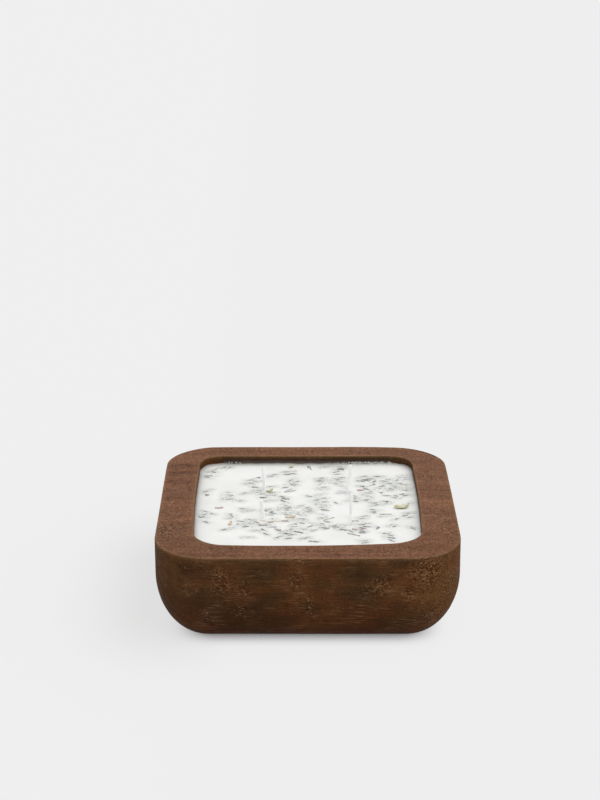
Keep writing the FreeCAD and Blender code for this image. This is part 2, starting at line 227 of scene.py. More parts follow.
@dataclass(frozen=True)
class StainedHardwood(Finish):
    """Hand-carved hardwood, stained walnut brown and left matt.

    It gives the eye fine fibres along X, faint growth rings that show as arcs on the end grain,
    short dark pores, stain that took unevenly in rust and olive patches, a fine grit of torn fibre
    ends, and torn-up grain that shows as pale and dark specks. Its rim is paler, partly from sanding
    and partly painted light from above with a painted sheen that is weaker in front, and its edges
    are paler, partly worn and partly a painted highlight. Painted shade darkens it towards the foot,
    on its left corner and on the inner wall of the mouth, and painted light brightens its right
    side. The sizes of its patterns are millimetres along X, Y and Z.
    """

    name: str = "stained_hardwood"
    dark: str = "#3f2917"
    olive: str = "#48301a"
    rust: str = "#55331b"
    light: str = "#624326"
    # The rim's tone: partly sanded wood, partly painted light from above and painted sheen.
    rim_sanded_and_lit: str = "#8a624e"
    # Painted light on the bowl's right side.
    painted_light: str = "#86592e"
    pit: str = "#1e1109"
    worn: str = "#a07c5a"
    # Painted shade on the inner wall of the mouth.
    mouth_shade_tone: str = "#20150e"
    waxed: str = "#8d8983"
    # Painted shade: the wood darkens towards the foot, up to the height below.
    foot_shade: Scale = (0.48, 0.26, 0.08)
    foot_shade_height: float = 30 * MM
    ring_spacing: float = 5.5
    pith_y: float = 26.0
    pith_z: float = -62.0
    waver: float = 60.0
    waver_by: float = 4 * MM
    # Real fibres are about 0.05 mm thick, too fine to show, so they are drawn as bundles.
    fibre: Scale = (22.0, 0.6, 0.6)
    grit: Scale = (0.9, 2.2, 0.55)
    streak: Scale = (70.0, 3.0, 3.0)
    end_streak: Scale = (5.0, 2.6, 45.0)
    stain_patch: Scale = (26.0, 20.0, 20.0)
    saw_line: Scale = (7.0, 0.5, 0.5)
    saw_patch: Scale = (16.0, 9.0, 9.0)
    pore: Scale = (5.0, 0.8, 0.8)
    speck: Scale = (1.2, 0.75, 0.75)

    def shader(self, tree: Tree) -> Socket:
        """Lays out the wood.

        Args:
            tree: the material's nodes.

        Returns:
            The shader of the wood.
        """
        add = partial(add_node, tree)
        still = add("TexCoord").outputs["Object"]
        size = 1 / (self.waver * MM)
        waver = add("TexNoise", {"Scale": size, "Detail": 2.0}, {"Vector": still}).outputs["Color"]
        sideways, links = {1: (0.0, self.waver_by, self.waver_by)}, {0: waver, 2: still}
        place = add("VectorMath", sideways, links, operation="MULTIPLY_ADD").outputs[0]
        fibres = self.drawn_out(tree, place, self.fibre, 4.0)
        along = self.drawn_out(tree, place, self.streak, 3.0)
        upright = self.drawn_out(tree, place, self.end_streak, 3.0)
        end_grain = add("Attribute", attribute_name="end_grain").outputs["Fac"]
        links = {0: end_grain, 2: along, 3: upright}
        streaks = add("Mix", links=links, data_type="FLOAT").outputs[0]
        colour = self.stain(tree, place)
        for pattern, swing in (
            (self.drawn_out(tree, still, self.grit, 2.0), 0.47),
            (fibres, 0.26),
            (streaks, 0.18),
            (self.rings(tree, place), 0.05),
        ):
            swung = {"From Min": 0.25, "From Max": 0.75, "To Min": 1 - swing, "To Max": 1 + swing}
            links = {0: colour, 1: add("MapRange", swung, {"Value": pattern}).outputs["Result"]}
            colour = add("VectorMath", links=links, operation="MULTIPLY").outputs[0]
        colour = self.shade_light_and_film(tree, still, colour)
        colour = self.saw_lines(tree, place, colour)
        colour, pores = self.pores(tree, place, colour)
        colour, specks = self.specks(tree, still, colour)
        relief: dict[str, Socket] = {}
        for height, strength, distance, sunk in (
            (fibres, 0.4, 0.25, False),
            (pores, 0.6, 0.2, True),
            (specks, 0.6, 0.3, False),
        ):
            settings = {"Strength": strength, "Distance": distance * MM}
            bump = add("Bump", settings, {"Height": height, **relief}, invert=sunk)
            relief = {"Normal": bump.outputs["Normal"]}
        roughness = add("MapRange", {"To Min": 0.55, "To Max": 0.75}, {"Value": fibres})
        return add(
            "BsdfPrincipled",
            {"Specular IOR Level": 0.04},
            {"Base Color": colour, "Roughness": roughness.outputs["Result"], **relief},
        ).outputs["BSDF"]

    @staticmethod
    def drawn_out(tree: Tree, place: Socket, size: Scale, detail: float) -> Socket:
        """Adds noise whose lumps have a given size in millimetres.

        Args:
            tree: the material's nodes.
            place: where the pattern is read.
            size: the lumps' size along X, Y and Z.
            detail: how many finer layers it has.

        Returns:
            The noise, about 0 to 1.
        """
        scaled = add_node(tree, "Mapping", {"Scale": per_mm(*size)}, {"Vector": place}).outputs[0]
        settings = {"Scale": 1.0, "Detail": detail, "Roughness": 0.6}
        return add_node(tree, "TexNoise", settings, {"Vector": scaled}).outputs["Fac"]

    @staticmethod
    def marks(
        tree: Tree,
        colour: Socket,
        pattern: Socket,
        kinds: Sequence[tuple[Socket, float, float, float, float, str]],
    ) -> tuple[Socket, list[Socket]]:
        """Lays marks of several kinds over the wood, all from one pattern.

        Args:
            tree: the material's nodes.
            colour: the wood's colour so far.
            pattern: the marks' pattern.
            kinds: for each kind how much of it there is, the pattern's values at which it starts
                and is full, how much it covers there, and its tone.

        Returns:
            The marked colour, and how much each kind covers.
        """
        shares = []
        for amount, start, full, least, most, tone in kinds:
            settings = {"From Min": start, "From Max": full, "To Min": least, "To Max": most}
            strength = add_node(tree, "MapRange", settings, {"Value": pattern}).outputs["Result"]
            links = {0: strength, 1: amount}
            shares.append(add_node(tree, "Math", links=links, operation="MULTIPLY").outputs[0])
            colour = coated(tree, colour, [(shares[-1], tone)])
        return colour, shares

    def stain(self, tree: Tree, place: Socket) -> Socket:
        """Lays on the stain, in patches of several browns, paler on the rim, partly from sanding and
        partly painted light and sheen.

        Args:
            tree: the material's nodes.
            place: the wavering object coordinates.

        Returns:
            The stained colour.
        """
        tones = ((0.3, self.dark), (0.42, self.olive), (0.54, self.rust), (0.72, self.light))
        patches = self.drawn_out(tree, place, self.stain_patch, 4.0)
        colour = add_node(tree, "ValToRGB", links={"Fac": patches}, stops=tones).outputs["Color"]
        # The pale rim: partly sanded wood, partly painted light from above and a painted sheen,
        # weaker in front.
        sanded_and_lit = add_node(tree, "Attribute", attribute_name="sanded_and_lit").outputs["Fac"]
        return coated(tree, colour, [(sanded_and_lit, self.rim_sanded_and_lit)])

    def rings(self, tree: Tree, place: Socket) -> Socket:
        """Adds the growth rings, round a pith that runs along X below the bowl.

        Args:
            tree: the material's nodes.
            place: the wavering object coordinates.

        Returns:
            The rings, 0 to 1.
        """
        spacing = self.ring_spacing
        around_pith = {
            "Scale": per_mm(400.0, spacing, spacing),
            "Location": (0.0, -self.pith_y / spacing, -self.pith_z / spacing),
        }
        from_pith = add_node(tree, "Mapping", around_pith, {"Vector": place}).outputs["Vector"]
        return add_node(
            tree,
            "TexWave",
            {"Scale": math.pi / 10, "Distortion": 6.0, "Detail": 3.0, "Detail Scale": 0.6},
            {"Vector": from_pith},
            wave_type="RINGS",
            rings_direction="X",
        ).outputs["Fac"]

    def shade_light_and_film(self, tree: Tree, place: Socket, colour: Socket) -> Socket:
        """Darkens and lightens the wood: painted shade towards the foot and in patches on the left,
        painted light on the right side, painted shade on the inner wall of the mouth, and a grey film
        of wax on that wall just over the wax.

        Args:
            tree: the material's nodes.
            place: the object coordinates.
            colour: the wood's colour so far.

        Returns:
            The shaded and lit colour.
        """
        add = partial(add_node, tree)
        # Painted shade: darker towards the foot, under the flare.
        up = add("SeparateXYZ", links={"Vector": place}).outputs["Z"]
        rise = add("MapRange", {"From Max": self.foot_shade_height}, {"Value": up}).outputs["Result"]
        at_foot = {MIX_A: (*self.foot_shade, 1.0), MIX_B: grey(1.0)}
        foot = add("Mix", at_foot, {0: rise}, data_type="RGBA").outputs[MIX_OUT]
        colour = add("VectorMath", links={0: colour, 1: foot}, operation="MULTIPLY").outputs[0]
        # Painted shade on the left and on the inner wall, painted light on the right, then the grey
        # wax film.
        for name, tone in (
            ("deep", self.dark),
            ("painted_light", self.painted_light),
            ("mouth_shade", self.mouth_shade_tone),
            ("film", self.waxed),
        ):
            share = add("Attribute", attribute_name=name).outputs["Fac"]
            colour = coated(tree, colour, [(share, tone)])
        return colour

    def saw_lines(self, tree: Tree, place: Socket, colour: Socket) -> Socket:
        """Adds short fine lines along X that the saw left: pale in patches, dark where stain sat.

        Args:
            tree: the material's nodes.
            place: the wavering object coordinates.
            colour: the wood's colour so far.

        Returns:
            The lined colour.
        """
        lines = self.drawn_out(tree, place, self.saw_line, 2.0)
        patches = self.drawn_out(tree, place, self.saw_patch, 2.0)
        edge = {"From Min": 0.48, "From Max": 0.62}
        marked = add_node(tree, "MapRange", edge, {"Value": patches}).outputs["Result"]
        smudge = add_node(tree, "Attribute", attribute_name="smudge").outputs["Fac"]
        kinds = (
            (marked, 0.5, 0.66, 0.0, 0.28, self.worn),
            (smudge, 0.6, 0.42, 0.1, 0.85, self.pit),
        )
        return self.marks(tree, colour, lines, kinds)[0]

    def pores(self, tree: Tree, place: Socket, colour: Socket) -> tuple[Socket, Socket]:
        """Adds the open pores: short dark dashes along the grain, and dots on the end grain.

        Args:
            tree: the material's nodes.
            place: the wavering object coordinates.
            colour: the wood's colour so far.

        Returns:
            The colour with pores, and how deep in a pore each point is, 0 to 1.
        """
        add = partial(add_node, tree)
        along = add("Mapping", {"Scale": per_mm(*self.pore)}, {"Vector": place}).outputs["Vector"]
        cells = add("TexVoronoi", {"Scale": 1.0}, {"Vector": along})
        rim = {"From Min": 0.36, "From Max": 0.16, "To Max": 0.5}
        inside = add("MapRange", rim, {"Value": cells.outputs["Distance"]}).outputs["Result"]
        chosen = add("SeparateColor", links={"Color": cells.outputs["Color"]}).outputs["Red"]
        is_open = add("Math", {1: 0.6}, {0: chosen}, operation="GREATER_THAN").outputs[0]
        depth = add("Math", links={0: inside, 1: is_open}, operation="MULTIPLY").outputs[0]
        return coated(tree, colour, [(depth, self.pit)]), depth

    def specks(self, tree: Tree, place: Socket, colour: Socket) -> tuple[Socket, Socket]:
        """Adds the pale and dark specks where the grain is torn up, and the paler edges, partly worn
        and partly a painted highlight.

        Args:
            tree: the material's nodes.
            place: the object coordinates.
            colour: the wood's colour so far.

        Returns:
            The worn colour, and the height of the torn grain, about -1 to 1.
        """
        add = partial(add_node, tree)
        rough = self.drawn_out(tree, place, self.speck, 2.0)
        scuff = add("Attribute", attribute_name="scuff").outputs["Fac"]
        # The paler edges: partly worn wood, partly a painted highlight.
        wear_and_highlight = add("Attribute", attribute_name="wear_and_highlight").outputs["Fac"]
        kinds = (
            (scuff, 0.55, 0.65, 0.0, 0.75, self.worn),
            (scuff, 0.47, 0.37, 0.0, 0.95, self.pit),
            (wear_and_highlight, 0.0, 0.8, 0.0, 0.6, self.worn),
        )
        colour, (raised, sunk, _) = self.marks(tree, colour, rough, kinds)
        return colour, add("Math", links={0: raised, 1: sunk}, operation="SUBTRACT").outputs[0]


@dataclass(frozen=True)
class PouredWax(Finish):
    """Soft plant wax, poured in the bowl and set.

    It gives the eye a milky white that light enters a little way, a satin skin, fine frosting, a
    grey-green haze over and round the flowers that lie just under it, partly their colour showing
    through and partly painted shade round them, and a dim edge where it thins out over the dark
    wood, which is also painted shade beside the walls.
    """

    name: str = "poured_soft_wax"
    white: str = "#f1f1ee"
    shade: str = "#eaebe8"
    # The haze's tone: buds seen through the wax, partly painted shade round them.
    veil: str = "#7f847c"
    wood_and_shade: str = "#6f675d"
    frost_grain: float = 0.7 * MM
    mottle: float = 1.3 * MM
    ripple: float = 7.0 * MM
    cloud: float = 22.0 * MM
    light_reach: Scale = (1.0, 0.92, 0.8)

    def shader(self, tree: Tree) -> Socket:
        """Lays out the wax.

        Args:
            tree: the material's nodes.

        Returns:
            The shader of the wax.
        """
        add = partial(add_node, tree)
        place = {"Vector": add("TexCoord").outputs["Object"]}
        patterns = []
        for size, detail, roughness in (
            (self.cloud, 3.0, 0.5),
            (self.mottle, 3.0, 0.6),
            (self.frost_grain, 3.0, 0.6),
            (self.ripple, 2.0, 0.5),
        ):
            settings = {"Scale": 1 / size, "Detail": detail, "Roughness": roughness}
            patterns.append(add("TexNoise", settings, place).outputs["Fac"])
        clouds, mottle, frost, ripples = patterns
        stops = ((0.35, self.shade), (0.6, self.white))
        colour = add("ValToRGB", links={"Fac": clouds}, stops=stops).outputs["Color"]
        # The grey-green haze: a bud's colour through the wax, partly painted shade round it.
        near_bud = add("Attribute", attribute_name="veil").outputs["Fac"]
        # The dim edge: partly wood showing through thin wax, partly painted shade beside the walls.
        thin = add("Attribute", attribute_name="thin").outputs["Fac"]
        thick = add("MapRange", {"From Min": 0.3, "From Max": 0.7}, {"Value": mottle})
        links = {0: near_bud, 1: thick.outputs["Result"]}
        veil = add("Math", links=links, operation="MULTIPLY").outputs[0]
        colour = coated(tree, colour, [(veil, self.veil), (thin, self.wood_and_shade)])
        wavy = add("Bump", {"Strength": 0.3, "Distance": 0.5 * MM}, {"Height": ripples})
        links = {"Height": frost, "Normal": wavy.outputs["Normal"]}
        frosted = add("Bump", {"Strength": 0.3, "Distance": 0.08 * MM}, links).outputs["Normal"]
        satin = add("MapRange", {"To Min": 0.42, "To Max": 0.7}, {"Value": frost}).outputs["Result"]
        return add(
            "BsdfPrincipled",
            {
                "IOR": 1.44,
                "Specular IOR Level": 0.25,
                "Subsurface Weight": 0.5,
                "Subsurface Radius": self.light_reach,
                "Subsurface Scale": 1.6 * MM,
            },
            {"Base Color": colour, "Roughness": satin, "Normal": frosted},
        ).outputs["BSDF"]


@dataclass(frozen=True)
class BraidedCotton(Finish):
    """Bleached cotton yarn, braided and primed with wax.

    It gives the eye an off-white, slightly hairy strand with a faint plait. The wax in it carries
    light up from the bright wax below, which a faint glow stands in for, so that it looks nearly as
    pale.
    """

    name: str = "waxed_braided_cotton"
    pale: str = "#ffffff"
    dim: str = "#faf9f6"
    yarn: float = 0.22
    carried_light: float = 0.11

    def shader(self, tree: Tree) -> Socket:
        """Lays out the cotton.

        Args:
            tree: the material's nodes.

        Returns:
            The shader of the cotton.
        """
        add = partial(add_node, tree)
        twist = {"Scale": per_mm(self.yarn, self.yarn, self.yarn * 5), "Rotation": (0.4, 0.4, 0.0)}
        place = {"Vector": add("TexCoord").outputs["Object"]}
        along = add("Mapping", twist, place).outputs["Vector"]
        yarn = add("TexNoise", {"Scale": 1.0, "Detail": 3.0}, {"Vector": along}).outputs["Fac"]
        stops = ((0.35, self.dim), (0.65, self.pale))
        colour = add("ValToRGB", links={"Fac": yarn}, stops=stops).outputs["Color"]
        bump = add("Bump", {"Strength": 0.3, "Distance": 0.04 * MM}, {"Height": yarn})
        return add(
            "BsdfPrincipled",
            {
                "Roughness": 0.72,
                "Sheen Weight": 0.15,
                "IOR": 1.44,
                "Specular IOR Level": 0.2,
                "Subsurface Weight": 0.7,
                "Subsurface Radius": (1.0, 0.95, 0.9),
                "Subsurface Scale": 0.5 * MM,
                "Emission Color": grey(1.0),
                "Emission Strength": self.carried_light,
            },
            {"Base Color": colour, "Normal": bump.outputs["Normal"]},
        ).outputs["BSDF"]


@dataclass(frozen=True)
class TinnedSteel(Finish):
    """Thin steel sheet, tinned and stamped.

    It gives the eye a dull bright metal with a fine rolled grain.
    """

    name: str = "tinned_steel"
    bright: str = "#d6d6d4"
    dull: str = "#b4b5b5"
    rolled: Scale = (9.0, 0.2, 0.2)

    def shader(self, tree: Tree) -> Socket:
        """Lays out the tinned steel.

        Args:
            tree: the material's nodes.

        Returns:
            The shader of the tinned steel.
        """
        add = partial(add_node, tree)
        place = {"Vector": add("TexCoord").outputs["Object"]}
        along = add("Mapping", {"Scale": per_mm(*self.rolled)}, place).outputs["Vector"]
        lines = add("TexNoise", {"Scale": 1.0, "Detail": 3.0}, {"Vector": along}).outputs["Fac"]
        stops = ((0.3, self.dull), (0.7, self.bright))
        colour = add("ValToRGB", links={"Fac": lines}, stops=stops).outputs["Color"]
        roughness = add("MapRange", {"To Min": 0.25, "To Max": 0.45}, {"Value": lines})
        links = {"Base Color": colour, "Roughness": roughness.outputs["Result"]}
        return add("BsdfPrincipled", {"Metallic": 1.0}, links).outputs["BSDF"]


@dataclass(frozen=True)
class FoamTape(Finish):
    """White closed-cell foam with glue on both faces, die-cut.

    It gives the eye a flat off-white with tiny round cells.
    """

    name: str = "foam_tape"
    cell_wall: str = "#e9e8e3"
    cell: str = "#cfcdc5"
    cell_size: float = 0.5 * MM

    def shader(self, tree: Tree) -> Socket:
        """Lays out the foam.

        Args:
            tree: the material's nodes.

        Returns:
            The shader of the foam.
        """
        add = partial(add_node, tree)
        place = {"Vector": add("TexCoord").outputs["Object"]}
        cells = add("TexVoronoi", {"Scale": 1 / self.cell_size}, place).outputs["Distance"]
        stops = ((0.2, self.cell), (0.6, self.cell_wall))
        colour = add("ValToRGB", links={"Fac": cells}, stops=stops).outputs["Color"]
        bump = add("Bump", {"Strength": 0.4, "Distance": 0.1 * MM}, {"Height": cells})
        links = {"Base Color": colour, "Normal": bump.outputs["Normal"]}
        return add("BsdfPrincipled", {"Roughness": 0.85}, links).outputs["BSDF"]


@dataclass(frozen=True)
class DriedPlant(Finish):
    """A dried part of a plant: papery skin whose colour runs through three tones.

    It gives the eye a dull, finely wrinkled surface that shows through a patchy film of wax, with
    painted shade in its creases and hollows. The tone follows each piece's own tint, and the
    painted shade follows the creases in its shape.
    """

    name: str
    low: str
    middle: str
    high: str
    # The tone of the painted shade in creases and hollows.
    fold: str
    film: float
    wax: str = "#e3e3de"
    wrinkle: float = 0.35 * MM
    film_patch: float = 1.6 * MM
    roughness: float = 0.78

    def shader(self, tree: Tree) -> Socket:
        """Lays out the dried plant.

        Args:
            tree: the material's nodes.

        Returns:
            The shader of the dried plant.
        """
        add = partial(add_node, tree)
        place = {"Vector": add("TexCoord").outputs["Object"]}
        tint = add("Attribute", attribute_name="tint").outputs["Fac"]
        # Painted shade in creases and hollows.
        folds = add("Attribute", attribute_name="fold").outputs["Fac"]
        wrinkles = {"Scale": 1 / self.wrinkle, "Detail": 3.0, "Roughness": 0.6}
        speckle = add("TexNoise", wrinkles, place).outputs["Fac"]
        uneven = add("MapRange", {"To Min": -0.22, "To Max": 0.22}, {"Value": speckle})
        links = {0: tint, 1: uneven.outputs["Result"]}
        tone = add("Math", links=links, operation="ADD", use_clamp=True).outputs[0]
        stops = ((0.05, self.low), (0.5, self.middle), (0.95, self.high))
        colour = add("ValToRGB", links={"Fac": tone}, stops=stops).outputs["Color"]
        patchy = {"Scale": 1 / self.film_patch, "Detail": 2.0}
        patches = add("TexNoise", patchy, place).outputs["Fac"]
        film = {
            "From Min": 0.3,
            "From Max": 0.7,
            "To Min": 0.3 * self.film,
            "To Max": 1.7 * self.film,
        }
        covered = add("MapRange", film, {"Value": patches}).outputs["Result"]
        colour = coated(tree, colour, [(folds, self.fold), (covered, self.wax)])
        bump = add("Bump", {"Strength": 0.6, "Distance": 0.08 * MM}, {"Height": speckle})
        settings = {"Roughness": self.roughness, "Specular IOR Level": 0.25}
        links = {"Base Color": colour, "Normal": bump.outputs["Normal"]}
        return add("BsdfPrincipled", settings, links).outputs["BSDF"]


CALYX = DriedPlant("dried_lavender_calyx", "#3a3b37", "#575751", "#716b73", "#2a2a26", 0.36)
COROLLA = DriedPlant("dried_lavender_corolla", "#5d4f60", "#7d6b80", "#98889a", "#3f3443", 0.4)
STALK = DriedPlant("dried_lavender_stalk", "#7d744f", "#a0905f", "#d9a066", "#635a3c", 0.5)
ORANGE_PETAL = DriedPlant("dried_marigold_petal", "#c48f4e", "#dcae66", "#efd2a4", "#a07740", 0.55)
PINK_PETAL = DriedPlant("dried_rose_petal", "#94656a", "#b0868b", "#c9a8aa", "#7d585b", 0.55)
LEAF = DriedPlant("dried_green_leaf", "#8c9440", "#b4b54c", "#e3d872", "#7d8840", 0.6)


@dataclass(frozen=True)
class StudioPaper(Finish):
    """Pale grey seamless paper, which the bowl stands on.

    It gives the eye an even pale ground. What is seen of it is mostly its own even tone, with a
    painted shadow close under the bowl where the bowl hems it in, and in part the light that falls
    on it, so that it keeps a faint soft shadow. The light keeps a larger part on the bowl's left,
    where the shadow falls.
    """

    name: str = "studio_paper"
    pale: str = "#eeeeee"
    tooth: float = 0.4 * MM
    near_reach: float = 11 * MM
    painted_shadow_depth: float = 0.95
    near_fall: float = 4.5
    lit_share: float = 0.04
    lit_share_left: float = 0.33
    left_from: float = -40 * MM
    left_to: float = -90 * MM

    def shader(self, tree: Tree) -> Socket:
        """Lays out the paper.

        Args:
            tree: the material's nodes.

        Returns:
            The shader of the paper.
        """
        add = partial(add_node, tree)
        place = {"Vector": add("TexCoord").outputs["Object"]}
        tooth = add("TexNoise", {"Scale": 1 / self.tooth, "Detail": 2.0}, place).outputs["Fac"]
        bump = add("Bump", {"Strength": 0.05, "Distance": 0.02 * MM}, {"Height": tooth})
        flat = {"Base Color": linear(self.pale), "Roughness": 0.95, "Specular IOR Level": 0.0}
        paper = add("BsdfPrincipled", flat, {"Normal": bump.outputs["Normal"]}).outputs["BSDF"]
        # Painted shadow: the paper's own glow dims where the bowl hems it in, read from ambient
        # occlusion.
        open_sky = add("AmbientOcclusion", {"Distance": self.near_reach}, samples=16).outputs["AO"]
        covered = add("Math", {0: 1.0}, {1: open_sky}, operation="SUBTRACT").outputs[0]
        close = add("Math", {1: self.near_fall}, {0: covered}, operation="POWER").outputs[0]
        dimmed = {"To Min": 1.0, "To Max": 1 - self.painted_shadow_depth}
        tone = add("MapRange", dimmed, {"Value": close}).outputs["Result"]
        glow = add("Emission", {"Color": linear(self.pale)}, {"Strength": tone}).outputs["Emission"]
        across = {
            "From Min": self.left_from,
            "From Max": self.left_to,
            "To Min": self.lit_share,
            "To Max": self.lit_share_left,
        }
        along_x = add("SeparateXYZ", links=place).outputs["X"]
        lit = add("MapRange", across, {"Value": along_x}).outputs["Result"]
        seen = add("MixShader", links={0: lit, 1: glow, 2: paper}).outputs["Shader"]
        return add("MixShader", links={0: is_looked_at(tree), 1: paper, 2: seen}).outputs["Shader"]


# ---------------------------------------------------------------- meshes


class Shells:
    """Gathers shells of vertices and faces, with values at each vertex, into one mesh."""

    def __init__(self, *value_names: str) -> None:
        """Starts with no shells and the names of the values that every vertex carries."""
        self.points: list[np.ndarray] = []
        self.faces: Faces = []
        self.values: dict[str, list[np.ndarray]] = {name: [] for name in value_names}
        self.count = 0

    def add(self, points: np.ndarray, faces: Faces, **values: np.ndarray | float) -> None:
        """Adds one shell.

        Args:
            points: its vertices, one row each.
            faces: its faces, as numbers of its own vertices.
            values: for each name given at the start, one number or one for each vertex.
        """
        self.points.append(points)
        self.faces += [tuple(self.count + i for i in face) for face in faces]
        for name, kept in self.values.items():
            kept.append(np.broadcast_to(np.asarray(values[name], float), len(points)))
        self.count += len(points)

    def build(self, name: str, finish: Finish) -> bpy.types.Object:
        """Makes the mesh, with its faces turned outwards and shaded smooth.

        Args:
            name: the object's name.
            finish: what it is made of.

        Returns:
            The new object, at the origin.
        """
        mesh = bpy.data.meshes.new(name)
        mesh.from_pydata(np.concatenate(self.points).tolist(), [], self.faces)
        for value_name, kept in self.values.items():
            attribute = mesh.attributes.new(value_name, "FLOAT", "POINT")
            attribute.data.foreach_set("value", np.concatenate(kept).astype(np.float32))
        mesh.polygons.foreach_set("use_smooth", [True] * len(mesh.polygons))
        mesh.materials.append(finish.material())
        piece = bpy.data.objects.new(name, mesh)
        bpy.context.scene.collection.objects.link(piece)
        return piece


def loft_faces(rows: int, columns: int) -> Faces:
    """The faces of a closed tube of rows, each a ring of columns, with both ends capped.

    Args:
        rows: how many rings there are.
        columns: how many vertices each ring has.

    Returns:
        Quads between the rings and one face at each end, all turned the same way.
    """
    faces: Faces = []
    for row in range(rows - 1):
        low, high = row * columns, (row + 1) * columns
        for i in range(columns):
            j = (i + 1) % columns
            faces.append((low + i, low + j, high + j, high + i))
    faces.append(tuple(reversed(range(columns))))
    faces.append(tuple((rows - 1) * columns + i for i in range(columns)))
    return faces


def quarter(steps: int) -> np.ndarray:
    """Angles from 0 to a right angle, without the first."""
    return np.linspace(0, math.pi / 2, steps + 1)[1:]


def roughness_of(points: np.ndarray, size: float, seed: float) -> np.ndarray:
    """Smooth noise at each point.

    Args:
        points: the places, one row each, in metres.
        size: how large its lumps are, in metres.
        seed: picks another noise of the same kind.

    Returns:
        A number for each point, from about -1 to 1.
    """
    shift = Vector((seed * 17.3, seed * 5.1, seed * 9.7))
    return np.array([noise.noise(Vector(p) / size + shift) for p in points])


@dataclass(frozen=True)
class PlanShape:
    """A rectangle with round corners, seen from above."""

    half_x: float
    half_y: float
    radius: float

    def grown(self, by: float, least_radius: float = 0.4 * MM) -> "PlanShape":
        """The shape moved out by a distance, or in when that is negative."""
        radius = max(self.radius + by, least_radius)
        return PlanShape(self.half_x + by, self.half_y + by, radius)

    def ring(self, up: float, side_steps: int, corner_steps: int) -> np.ndarray:
        """Points around the shape, anticlockwise from the start of its +X side.

        Args:
            up: their height.
            side_steps: how many points each side has.
            corner_steps: how many points each corner has.

        Returns:
            The points, one row each.
        """
        axis_x, axis_y = self.half_x - self.radius, self.half_y - self.radius
        points = []
        for turn in range(4):
            run, out = (axis_y, axis_x) if turn % 2 == 0 else (axis_x, axis_y)
            local = [(out + self.radius, run * (2 * i / side_steps - 1)) for i in range(side_steps)]
            for i in range(corner_steps):
                angle = math.pi / 2 * i / corner_steps
                east, north = self.radius * math.cos(angle), self.radius * math.sin(angle)
                local.append((out + east, run + north))
            cos, sin = round(math.cos(turn * math.pi / 2)), round(math.sin(turn * math.pi / 2))
            points += [(x * cos - y * sin, x * sin + y * cos, up) for x, y in local]
        return np.array(points)

    def gap_to(self, points: np.ndarray) -> np.ndarray:
        """How far inside the shape each point is, in plan.

        Args:
            points: the places, one row each.

        Returns:
            The distance to the outline, negative outside it.
        """
        axes = np.array([self.half_x - self.radius, self.half_y - self.radius])
        over = np.abs(points[:, :2]) - axes
        outside = np.linalg.norm(np.maximum(over, 0), axis=1)
        inside = np.minimum(np.max(over, axis=1), 0)
        return self.radius - outside - inside


def shown(piece: bpy.types.Object, nodes: Sequence[str]) -> None:
    """Lets a piece ride on the candle in place of CAD nodes, and reports it.

    Args:
        piece: the new piece.
        nodes: the nodes that it stands for.
    """
    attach(piece, BODY)
    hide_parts(*nodes)
    count = len(piece.data.vertices)
    LOG.info("%s: %d vertices in place of %s", piece.name, count, ", ".join(nodes))


# ---------------------------------------------------------------- the bowl


@dataclass(frozen=True)
class Patch:
    """A place on the bowl that differs from the rest. Its middle and reach are millimetres."""

    middle: Scale
    reach: Scale
    strength: float = 1.0

    def share(self, points: np.ndarray) -> np.ndarray:
        """How much each point belongs to the patch, 0 to its strength."""
        away = (points / MM - np.array(self.middle)) / np.array(self.reach)
        return self.strength * np.exp(-np.sum(away**2, axis=1))


TORN_GRAIN = (
    Patch((58, -73, 42), (9, 8, 10)),
    Patch((67, -62, 36), (6, 8, 7), 0.9),
    Patch((54, -64, 19), (6, 9, 7), 0.9),
    Patch((48, -75, 31), (4, 6, 5), 0.7),
    Patch((31, -75, 32), (9, 6, 4), 0.45),
    Patch((-42, -75, 38), (4, 6, 7), 0.8),
    Patch((-31, -75, 33), (4, 6, 5), 0.6),
    Patch((-48, -72, 19), (3, 8, 4), 0.7),
    Patch((-6, -75, 37), (3, 6, 5), 0.7),
    Patch((70, -40, 50), (5, 16, 4), 0.95),
    Patch((-70, -40, 50), (5, 18, 4), 0.95),
    Patch((74, 35, 30), (6, 10, 8), 0.8),
    Patch((-30, 75, 28), (10, 6, 6), 0.8),
)
DARK_SMUDGES = (
    Patch((-59, -71, 44), (5, 7, 4), 0.8),
    Patch((-24, -75, 32), (12, 6, 9), 0.25),
    Patch((20, -75, 24), (14, 6, 9), 0.25),
    Patch((48, -75, 47), (6, 6, 2), 0.4),
    Patch((56, -66, 18), (6, 9, 6), 0.85),
    Patch((44, -74, 26), (8, 8, 2), 0.6),
    Patch((-50, -72, 16), (4, 8, 5), 0.7),
    Patch((-67, 24, 50), (9, 4, 3), 0.8),
    Patch((-69, 2, 50), (7, 3, 3), 0.5),
    Patch((-38, -69, 50), (7, 8, 3), 0.4),
    Patch((58, -60, 50), (12, 9, 3), 0.4),
    Patch((12, -68, 50), (4, 8, 3), 0.35),
    Patch((-66, 36, 50), (9, 3, 3), 0.8),
    Patch((-65, 47, 50), (9, 4, 3), 0.8),
    Patch((-72, 40, 22), (6, 12, 8), 0.5),
    Patch((35, 75, 35), (10, 6, 7), 0.5),
)
# Painted light: paler, more orange patches on the bowl's right corner, right side and back right,
# towards the light.
RIGHT_LIGHT_PATCHES = (
    Patch((64, -66, 30), (16, 16, 22)),
    Patch((72, -20, 36), (6, 26, 12)),
    Patch((40, 74, 30), (26, 6, 14)),
)
# Painted shade: darker patches on the bowl's left corner and low on the back left, away from the
# light.
LEFT_SHADE_PATCHES = (
    Patch((-66, -64, 26), (14, 20, 22), 0.65),
    Patch((-58, -72, 44), (9, 9, 8), 0.6),
    Patch((-30, 74, 22), (30, 8, 14), 0.4),
)

# The rubbed corners of the rim: their sides along X and Y, their depth and reach in millimetres.
RUBBED_CORNERS = ((1, -1, 0.7, 14.0), (1, 1, 0.8, 16.0), (-1, 1, 0.35, 14.0))


